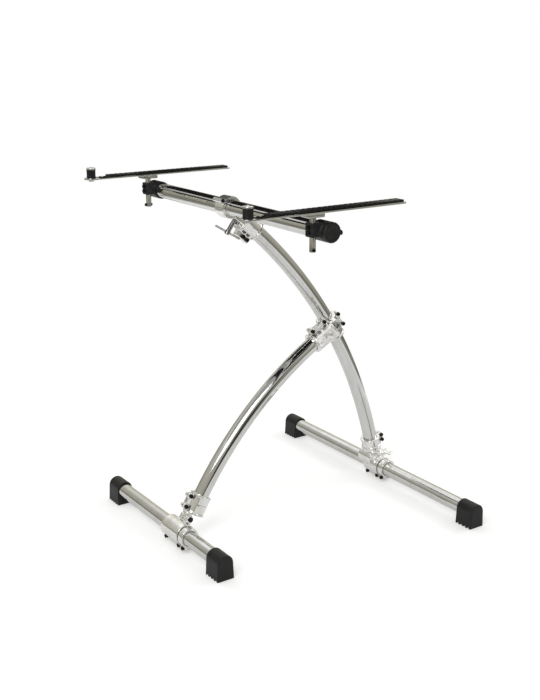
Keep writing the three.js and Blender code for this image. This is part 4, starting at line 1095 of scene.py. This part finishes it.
def plated(name, bright, dull, rough_low, rough_high, wave, wave_scale, grain, metal=1.0):
    """Chrome plate: nearly even, with faint wipe marks, dust and a slow wave."""
    g = Graph(name)
    g.shader.inputs["Metallic"].default_value = metal
    wipe = g.noise(38, 4, 0.6, stretch=(1, 1, 0.25), distort=0.4)
    dust = g.noise(900, 2, 0.7)
    haze = g.math("ADD", g.ramp(wipe, 0.35, 0.75, 0, 0.75), g.ramp(dust, 0.62, 0.8, 0, 0.5))
    rough = g.ramp(haze, 0, 1, rough_low, rough_high)
    colour = g.colours(haze, bright, dull)
    slow = g.bump(g.noise(wave_scale, 1.5, 0.4), 1.0, wave)
    fine = g.bump(g.noise(2600, 1, 0.5), grain, 0.00002, slow)
    return g.wire(Base_Color=colour, Roughness=rough, Normal=fine)


def dark_steel(name, base, worn):
    """Dull or black finish on steel, rubbed lighter in spots."""
    g = Graph(name)
    g.shader.inputs["Metallic"].default_value = 0.75
    patches = g.noise(420, 3, 0.6)
    fine = g.noise(2500, 2, 0.6)
    rub = g.math("MULTIPLY", g.ramp(patches, 0.52, 0.72, 0, 1), g.ramp(fine, 0.3, 0.7, 0.4, 1))
    colour = g.colours(rub, base, worn)
    rough = g.ramp(patches, 0.3, 0.7, 0.3, 0.48)
    return g.wire(Base_Color=colour, Roughness=rough, Normal=g.bump(fine, 0.25, 0.0001))


def moulded(name, base, pale, rough, grain_scale, grain, dust_share):
    """Plastic or rubber with a fine grain and a little dust."""
    g = Graph(name)
    g.shader.inputs["Specular IOR Level"].default_value = 0.3
    grain_field = g.noise(grain_scale, 3, 0.6)
    patches = g.noise(60, 4, 0.65)
    specks = g.ramp(g.noise(1400, 1, 0.5), 0.63, 0.72, 0, 1)
    dusty = g.math("MULTIPLY", g.math("ADD", g.ramp(patches, 0.4, 0.75, 0, 1), specks), dust_share)
    colour = g.colours(dusty, base, pale)
    level = g.ramp(patches, 0.3, 0.7, rough - 0.06, rough + 0.08)
    return g.wire(Base_Color=colour, Roughness=level, Normal=g.bump(grain_field, 0.5, grain))


tube_chrome = plated("tube_chrome", (0.73, 0.73, 0.72), (0.60, 0.595, 0.58), 0.05, 0.13, 0.00003, 9, 0.03)
cast_chrome = plated(
    "cast_chrome", (0.93, 0.925, 0.91), (0.74, 0.725, 0.695), 0.10, 0.24, 0.0008, 62, 0.2, metal=0.88)
# The next finish is a dimmer copy of the chrome: its darker colour is painted shade, standing in for the dark
# reflections that the tee handle and the pivot screw show.
painted_shade_chrome = plated("painted_shade_chrome", (0.46, 0.455, 0.45), (0.30, 0.295, 0.29), 0.16, 0.30, 0.0001, 60, 0.15)
steel_chrome = plated("steel_chrome", (0.83, 0.83, 0.82), (0.66, 0.65, 0.63), 0.08, 0.18, 0.00012, 25, 0.08)
black_steel = dark_steel("black_steel", (0.016, 0.016, 0.017), (0.11, 0.107, 0.103))
bore_steel = dark_steel("bore_steel", (0.17, 0.167, 0.162), (0.30, 0.294, 0.285))
black_plastic = moulded("black_plastic", (0.012, 0.012, 0.013), (0.06, 0.059, 0.057), 0.40, 2200, 0.00008, 0.2)
black_rubber = moulded("black_rubber", (0.0075, 0.0075, 0.008), (0.05, 0.048, 0.046), 0.40, 1500, 0.0001, 0.16)


# Tubes

def bar_along(axis):
    return lambda t: translate(t, *axis) @ turn("y", math.pi / 2)


def plated_tube(node, along, start, stop, steps):
    """Tube with chrome outside and dull steel in its bore."""
    piece = place_mesh(node, [tube(along, start, stop, steps)], tube_chrome)
    piece.data.materials.append(bore_steel)
    outer_faces = (steps + 4) * TUBE_SIDES
    for face in piece.data.polygons[outer_faces:]:
        face.material_index = 1


plated_tube("main_tube", main_arc.above, MAIN_START, main_arc.length - MAIN_STOP, 110)
plated_tube("brace_tube", brace_arc.below, 0, brace_arc.length, 80)
plated_tube("rear_floor_bar", bar_along(REAR_AXIS), -REAR_BAR_HALF, REAR_BAR_HALF, 40)
plated_tube("front_floor_bar", bar_along(FRONT_AXIS), -FRONT_BAR_HALF, FRONT_BAR_HALF, 40)
plated_tube("top_bar", bar_along(TOP_AXIS), TOP_BAR_LEFT, TOP_BAR_RIGHT, 40)

# Castings and rubber feet
for node, field, place in (
    ("centre_clamp_base", centre_base(), centre_place),
    ("centre_clamp_cap", clamp_cap(CENTRE_CLAMP, CENTRE_SPACING, -1, centre_place, main_arc), centre_place),
    ("head_clamp_base", head_base(), head_place),
    ("head_clamp_cap", clamp_cap(HEAD_CLAMP, HEAD_SPACING, 1, head_place, brace_arc), head_place),
    ("brace_foot_clamp", foot_clamp(), foot_place),
    ("rear_lock_ring", split_ring(LOCK_RING, LOCK_SPACING, lock_place, main_arc), lock_place),
    ("front_bar_clamp", front_clamp(), WORLD),
    ("front_stop_ring", stop_ring(FRONT_STOP, FRONT_AXIS), WORLD),
    ("rear_stop_ring", stop_ring(REAR_STOP, REAR_AXIS), WORLD),
    ("rear_clamp_body", rear_body(), WORLD),
    ("top_clamp_body", top_body(), top_place),
    ("top_clamp_jaw", top_jaw(), top_place),
):
    carve(node, field, cast_chrome, place=place)
carve("rear_wing_screw", wing_field(), cast_chrome, SCREW_STEP, wing_place)
# The tee handle takes the chrome that is painted darker, as painted shade for its dark reflection.
carve("tee_handle", tee_field(), painted_shade_chrome, TEE_STEP, top_place)
for base, bar_half, axis in (("rear", REAR_BAR_HALF, REAR_AXIS[0]), ("front", FRONT_BAR_HALF, FRONT_AXIS[0])):
    for side, outward in (("left", -1), ("right", 1)):
        carve(f"{base}_{side}_foot", foot_field(bar_half, outward, axis), black_rubber, RUBBER_STEP)


# Screws

def fasten(node, place, face):
    """Dark screw in the place of its node, with a bright nut."""
    place_mesh(node, [through_bolt(place, face)], black_steel)
    extra(node + "_nut", body_of_node[node], [hex_nut(place, face)], steel_chrome)


def below_bar(x, axis):
    """Frame of a screw through the lugs under a floor bar, with its head in front."""
    return translate(x, axis[0], FLOOR_SCREW_HEIGHT) @ turn("x", math.pi / 2)


cross_face = LUG_HALF + SEAT
floor_face = FLOOR_LUG + SEAT
for name, place, spacing in (
    ("centre_clamp_bolt", centre_place, CENTRE_SPACING),
    ("head_clamp_bolt", head_place, HEAD_SPACING),
    ("brace_foot_bolt", foot_place, FOOT_SPACING),
    ("rear_lock_bolt", lock_place, LOCK_SPACING),
):
    for index in (0, 1):
        fasten(f"{name}_{index + 1}", along_x(place, LUG_BOLT, (index - 0.5) * spacing), cross_face)
for index, station in enumerate(TOP_SOCKET_BOLTS):
    fasten(f"top_socket_bolt_{index + 1}", along_x(main_arc.below(station), -LUG_BOLT, 0), cross_face)
for base, axis, xs in (("front", FRONT_AXIS, FRONT_BOLTS), ("rear", REAR_AXIS, REAR_BOLTS)):
    for index, x in enumerate(xs):
        fasten(f"{base}_clamp_bolt_{index + 1}", below_bar(x, axis), floor_face)
for base, axis, left in (("front", FRONT_AXIS, FRONT_STOP), ("rear", REAR_AXIS, REAR_STOP)):
    place = below_bar(left + STOP_LENGTH / 2, axis)
    extra(base + "_stop_screw", base + "_base", [through_bolt(place, floor_face)], black_steel)
    extra(base + "_stop_nut", base + "_base", [hex_nut(place, floor_face)], steel_chrome)

pivot_profile = [(PIVOT_SHANK, PIVOT_START), (PIVOT_SHANK, PIVOT_SEAT)] + socket_head(
    PIVOT_HEAD, PIVOT_HEAD_HEIGHT, PIVOT_SEAT, PIVOT_SOCKET, PIVOT_SOCKET_DEPTH)
pivot_mesh = lathe(along_x(WORLD, *PIVOT), pivot_profile, 64, 0.8)
# The pivot screw takes the chrome that is painted darker, as painted shade for its dark reflection.
place_mesh("pivot_screw", [pivot_mesh], painted_shade_chrome)
hinge_mesh = lathe(along_x(WORLD, *HINGE), HINGE_PIN_PROFILE, 48, 0.4)
place_mesh("front_hinge_pin", [hinge_mesh], black_steel)
jaw_mesh = lathe(along_x(top_place, *JAW_HINGE), JAW_PIN_PROFILE, 40, 0.3)
place_mesh("top_jaw_pin", [jaw_mesh], black_steel)
for side, x, outward in (("left", TOP_BAR_LEFT, -1), ("right", TOP_BAR_RIGHT, 1)):
    cap = lathe(translate(x, *TOP_AXIS) @ turn("y", outward * math.pi / 2), CAP_PROFILE, 64, 0.9)
    place_mesh(f"top_bar_{side}_cap", [cap], black_plastic)


# Arms and their clamps

def arm_outline(x, inset):
    """Round front end and two small corners at the back."""
    half = ARM_HALF - inset
    front = np.linspace(math.pi, 2 * math.pi, 25)
    points = [(x + half * math.cos(t), ARM_FRONT + half * math.sin(t)) for t in front]
    middle = ARM_BACK - inset - ARM_CORNER
    for cx, start in ((half - ARM_CORNER, 0), (ARM_CORNER - half, math.pi / 2)):
        for t in np.linspace(start, start + math.pi / 2, 6):
            points.append((x + cx + ARM_CORNER * math.cos(t), middle + ARM_CORNER * math.sin(t)))
    return points


def plate_mesh(x):
    """Flat bar with eased edges."""
    low, high, edge, part = ARM_LOW, ARM_TOP, ARM_EDGE, ARM_EDGE * 0.3
    levels = ((edge, low), (part, low + part), (0, low + edge),
              (0, high - edge), (part, high - part), (edge, high))
    rings = [[(px, py, z) for px, py in arm_outline(x, inset)] for inset, z in levels]
    count, last = len(rings[0]), len(rings) - 1
    caps = [list(range(count))[::-1], [last * count + i for i in range(count)]]
    return np.array([p for ring in rings for p in ring]), caps + bands(len(rings), count)


def pad_mesh(x):
    """Ribbed rubber strip on an arm."""
    start, stop = PAD_SPAN
    left, right = x - PAD_HALF, x + PAD_HALF
    cuts = [start + PAD_PITCH * (i + 1) - PAD_PITCH / 2 for i in range(int((stop - start) // PAD_PITCH))]
    edges = [start] + [e for c in cuts for e in (c, c + PAD_GROOVE)] + [stop]
    parts = [slab_box((left, start, PAD_BASE[0]), (right, stop, PAD_BASE[1]), 0.8)]
    for a, b in zip(edges[::2], edges[1::2]):
        parts.append(slab_box((left, a, PAD_RIB[0]), (right, b, PAD_RIB[1]), 0.9))
    return parts


def make_end_clamp(side, x):
    """Plastic clamp with its two front screws and its back screw."""
    carve(f"{side}_end_clamp", end_clamp_field(x), black_plastic, PLASTIC_STEP)
    face = -END_FACE + SEAT
    profile = [(KNOB_SHANK, -END_FACE - KNOB_BURIED), (KNOB_SHANK, face)] + socket_head(KNOB, 5, face, 2.3, 2.2)
    for index in (0, 1):
        knob_frame = along_y(WORLD, x, KNOB_HEIGHT + (index - 0.5) * KNOB_SPACING) @ turn("x", math.pi)
        place_mesh(f"{side}_clamp_knob_{index + 1}", [lathe(knob_frame, profile, 40, 0.6)], black_steel)
    bolt = lathe(along_y(WORLD, x, BACK_BOLT_HEIGHT), raised(BACK_BOLT_PROFILE, TOP_AXIS[0] + END_BACK[1]))
    place_mesh(f"{side}_back_bolt", [bolt], black_steel)


def make_arm(side, x, heading):
    """Upright rod, arm plate, pad, post, sleeve and small screws."""
    upright = lathe(translate(x, ROD_Y, 0), ROD_PROFILE, 56, 0.4)
    place_mesh(f"{side}_upright_rod", [upright], steel_chrome)
    saddle = slab_box(*[(x + dx, ROD_Y + dy, z) for dx, dy, z in SADDLE], SADDLE_EDGE)
    place_mesh(f"{side}_arm_plate", [plate_mesh(x), saddle], steel_chrome)
    place_mesh(f"{side}_arm_pad", pad_mesh(x), black_rubber, 40)
    post_frame = translate(x, ARM_FRONT, 0)
    post, nut = lathe(post_frame, POST_PROFILE, 56), lathe(post_frame, POST_NUT_PROFILE, 48, 0)
    place_mesh(f"{side}_arm_post", [post, nut], steel_chrome)
    place_mesh(f"{side}_post_sleeve", [lathe(post_frame, SLEEVE_PROFILE, 56, 0.3)], black_rubber)
    profile = [(2.2, ARM_SCREW_LOW), (2.2, ARM_TOP)] + socket_head(4.0, 2.4, ARM_TOP, 1.8, 1.4)
    for index, away in enumerate(ARM_SCREWS):
        screw = lathe(translate(x, away + ARM_FRONT, 0), profile, 36, 0.7)
        extra(f"{side}_arm_screw_{index + 1}", f"{side}_arm", [screw], black_steel)
    stop_frame = translate(x, ROD_Y, ROD_STOP_HEIGHT) @ turn("z", heading) @ turn("y", math.pi / 2)
    profile = list(ROD_STOP_PROFILE) + socket_head(3.9, 3.6, ROD_STOP_FACE, 1.9, 1.8)
    extra(f"{side}_rod_stop_bolt", f"{side}_arm", [lathe(stop_frame, profile, 36, 0.4)], black_steel)


for side, x, heading in (
    ("left", TOP_BAR_LEFT + END_CLAMP_INSET, -1.57), ("right", TOP_BAR_RIGHT - END_CLAMP_INSET, -0.3),
):
    make_end_clamp(side, x)
    make_arm(side, x, heading)


# Floor, light and camera, in metres
FLOOR_HALF = 9
FLOOR_NEAR = 0.95
FLOOR_FAR = 1.8
FLOOR_LIFT = 0.3
AMBIENT = 0.55
WALL_RADIUS = 4.6
WALL_HEIGHT = 4.2
WALL_SIDES = 64
WINDOW_HEADING = (-0.88, 0.47, 0)
PAPER_RADIUS = 1.7
PAPER_HEIGHT = 0.002
WALL_STOPS = (
    (0.0, (0.14, 0.138, 0.12)), (0.06, (0.18, 0.175, 0.145)), (0.13, (0.33, 0.32, 0.26)),
    (0.36, (0.44, 0.43, 0.36)), (0.62, (0.50, 0.49, 0.43)), (0.84, (0.62, 0.61, 0.58)),
    (1.0, (0.90, 0.90, 0.89)),
)
PAPER_STOPS = (
    (0.0, (0.62, 0.62, 0.61)), (0.16, (0.50, 0.49, 0.46)), (0.23, (0.16, 0.158, 0.14)),
    (0.40, (0.15, 0.148, 0.13)), (0.48, (0.30, 0.29, 0.24)), (1.0, (0.36, 0.35, 0.29)),
)
CAMERA_PLACE = (2.16955, -1.52044, 1.23439)
CAMERA_DOWN = 0.2939
CAMERA_HEADING = 0.9707
CAMERA_LENS = 54.97
CAMERA_SENSOR = 36


def link_new(name, data):
    made = bpy.data.objects.new(name, data)
    bpy.context.scene.collection.objects.link(made)
    return made


def stage_mesh(name, points, faces, material, mirrored_only=True):
    """Part of the studio; most of it only reflections show."""
    data = bpy.data.meshes.new(name)
    data.from_pydata(points, [], faces)
    data.materials.append(material)
    made = link_new(name, data)
    if mirrored_only:
        made.visible_camera = made.visible_diffuse = made.visible_shadow = made.visible_transmission = False


def stage_plane(name, centre, right, up, material, mirrored_only=True):
    """Flat card, given by its middle and two half edges."""
    centre, right, up = (np.array(v, float) for v in (centre, right, up))
    corners = [centre - right - up, centre + right - up, centre + right + up, centre - right + up]
    stage_mesh(name, [tuple(c) for c in corners], [(0, 1, 2, 3)], material, mirrored_only)


def round_stage(name, low, high, material):
    """Ring between two circles, each a radius and a height."""
    points, faces = [], []
    for i in range(WALL_SIDES):
        angle = 2 * math.pi * i / WALL_SIDES
        points += [(radius * math.cos(angle), radius * math.sin(angle), z) for radius, z in (low, high)]
        j = (i + 1) % WALL_SIDES
        faces.append((2 * i, 2 * i + 1, 2 * j + 1, 2 * j))
    stage_mesh(name, points, faces, material)


def emission_graph(name):
    """Material whose whole light is one emission shader."""
    g = Graph(name)
    g.tree.nodes.remove(g.shader)
    g.light = g.node("ShaderNodeEmission")
    g.tree.links.new(g.light.outputs[0], g.out.inputs["Surface"])
    return g


def card_material(name, colour):
    """Card of an even brightness."""
    g = emission_graph(name)
    g.light.inputs["Color"].default_value = (*colour, 1)
    return g.material


def colour_stops(g, value, stops):
    """Colours the graph's light along a value, through the stops."""
    ramp = g.node("ShaderNodeValToRGB", {"Fac": value})
    while len(ramp.color_ramp.elements) < len(stops):
        ramp.color_ramp.elements.new(0.5)
    for element, (place, colour) in zip(ramp.color_ramp.elements, stops):
        element.position, element.color = place, (*colour, 1)
    g.tree.links.new(ramp.outputs["Color"], g.light.inputs["Color"])


def wall_material():
    """Room wall: a dark skirting, beige above it, paler towards the ceiling and the window."""
    g = emission_graph("room_wall")
    height = g.node("ShaderNodeSeparateXYZ", {"Vector": g.place}).outputs["Z"]
    wavy = g.math("ADD", height, g.ramp(g.noise(0.5, 2, 0.5), 0.2, 0.8, -0.12, 0.12))
    colour_stops(g, g.ramp(wavy, 0, WALL_HEIGHT, 0, 1), WALL_STOPS)
    heading = g.node("ShaderNodeVectorMath", {0: g.place, 1: WINDOW_HEADING}, operation="DOT_PRODUCT")
    window = g.ramp(heading.outputs["Value"], 0.75 * WALL_RADIUS, 0.97 * WALL_RADIUS, 1.0, 1.6)
    g.tree.links.new(window, g.light.inputs["Strength"])
    return g.material


def from_middle(g):
    return g.node("ShaderNodeVectorMath", {0: g.place}, operation="LENGTH").outputs["Value"]


def paper_edge_material():
    """Floor beyond the white paper: a dark line, then beige."""
    g = emission_graph("paper_edge")
    colour_stops(g, g.ramp(from_middle(g), PAPER_RADIUS, WALL_RADIUS, 0, 1), PAPER_STOPS)
    return g.material


def floor_material():
    """Pale floor that keeps the shadow and turns into the white background further out."""
    g = Graph("pale_floor")
    g.shader.inputs["Roughness"].default_value = 0.6
    g.wire(Base_Color=g.colours(g.noise(3, 3, 0.5), (0.84, 0.84, 0.83), (0.87, 0.87, 0.86)))
    camera_ray, seen = g.seen()
    far = g.ramp(from_middle(g), FLOOR_NEAR, FLOOR_FAR, 0, 1, interpolation_type="SMOOTHSTEP")
    lift = g.node("ShaderNodeEmission", {"Strength": g.math("MULTIPLY", camera_ray, FLOOR_LIFT)})
    near = g.node("ShaderNodeAddShader", {0: g.shader.outputs[0], 1: lift.outputs[0]})
    white = g.node("ShaderNodeEmission", {"Strength": 1.0})
    share = g.math("MULTIPLY", seen, far)
    mixed = g.node("ShaderNodeMixShader", {0: share, 1: near.outputs[0], 2: white.outputs[0]})
    g.tree.links.new(mixed.outputs[0], g.out.inputs["Surface"])
    return g.material


def make_world():
    """Soft even light, and plain white where the camera or a mirror sees it."""
    world = bpy.data.worlds.new("studio")
    bpy.context.scene.world = world
    world.use_nodes = True
    world.node_tree.nodes.clear()
    nodes = Nodes(world.node_tree)
    soft, white = (
        nodes.node("ShaderNodeBackground", {"Color": (1, 1, 1, 1), "Strength": strength}).outputs[0]
        for strength in (AMBIENT, 1.0))
    mix = nodes.node("ShaderNodeMixShader", {0: nodes.seen()[1], 1: soft, 2: white})
    nodes.node("ShaderNodeOutputWorld", {0: mix.outputs[0]})


def area_lamp(name, place, target, size, power):
    data = bpy.data.lights.new(name, "AREA")
    data.shape = "RECTANGLE"
    data.size, data.size_y = size
    data.energy = power
    made = link_new(name, data)
    made.location = place
    made.rotation_mode = "QUATERNION"
    made.rotation_quaternion = (Vector(target) - Vector(place)).to_track_quat("-Z", "Y")
    return made


def make_camera():
    data = bpy.data.cameras.new("camera")
    data.lens, data.sensor_width = CAMERA_LENS, CAMERA_SENSOR
    data.clip_start, data.clip_end = 0.05, 60
    camera = link_new("camera", data)
    camera.location = CAMERA_PLACE
    camera.rotation_euler = (math.pi / 2 - CAMERA_DOWN, 0, CAMERA_HEADING)
    bpy.context.scene.camera = camera


make_world()
stage_plane("floor", (0, 0, 0), (FLOOR_HALF, 0, 0), (0, FLOOR_HALF, 0), floor_material(), mirrored_only=False)
round_stage("room_wall", (WALL_RADIUS, 0), (WALL_RADIUS, WALL_HEIGHT), wall_material())
round_stage("paper_edge", (PAPER_RADIUS, PAPER_HEIGHT), (WALL_RADIUS, PAPER_HEIGHT), paper_edge_material())
area_lamp("key", (1.6, -2.2, 2.6), (0, 0, 0.4), (1.6, 1.6), 38)
fill = area_lamp("fill", (-2.4, -0.8, 1.8), (0, 0, 0.4), (1.8, 1.4), 16)
fill.visible_glossy = False
area_lamp("back", (0.6, 2.6, 2.2), (0, 0, 0.5), (2.0, 1.0), 18)
black = card_material("black_card", (0.012, 0.012, 0.013))
dark = card_material("dark_card", (0.055, 0.055, 0.05))
grey = card_material("grey_card", (0.42, 0.42, 0.41))
stage_plane("upper_flag_front", (0.03, -0.275, 0.91), (0.70, 0, 0), (0, 0.035, 0), black)
stage_plane("upper_flag_back", (0.03, -0.08, 0.91), (0.70, 0, 0), (0, 0.12, 0), black)
stage_plane("side_flag", (3.5, -0.4, 0.9), (0, 0.85, 0), (0, 0, 0.9), dark)
stage_plane("front_ceiling", (0, -2.9, 4.1), (3.5, 0, 0), (0, 1.6, 0), grey)
make_camera()
bpy.context.scene.view_settings.view_transform = "Standard"
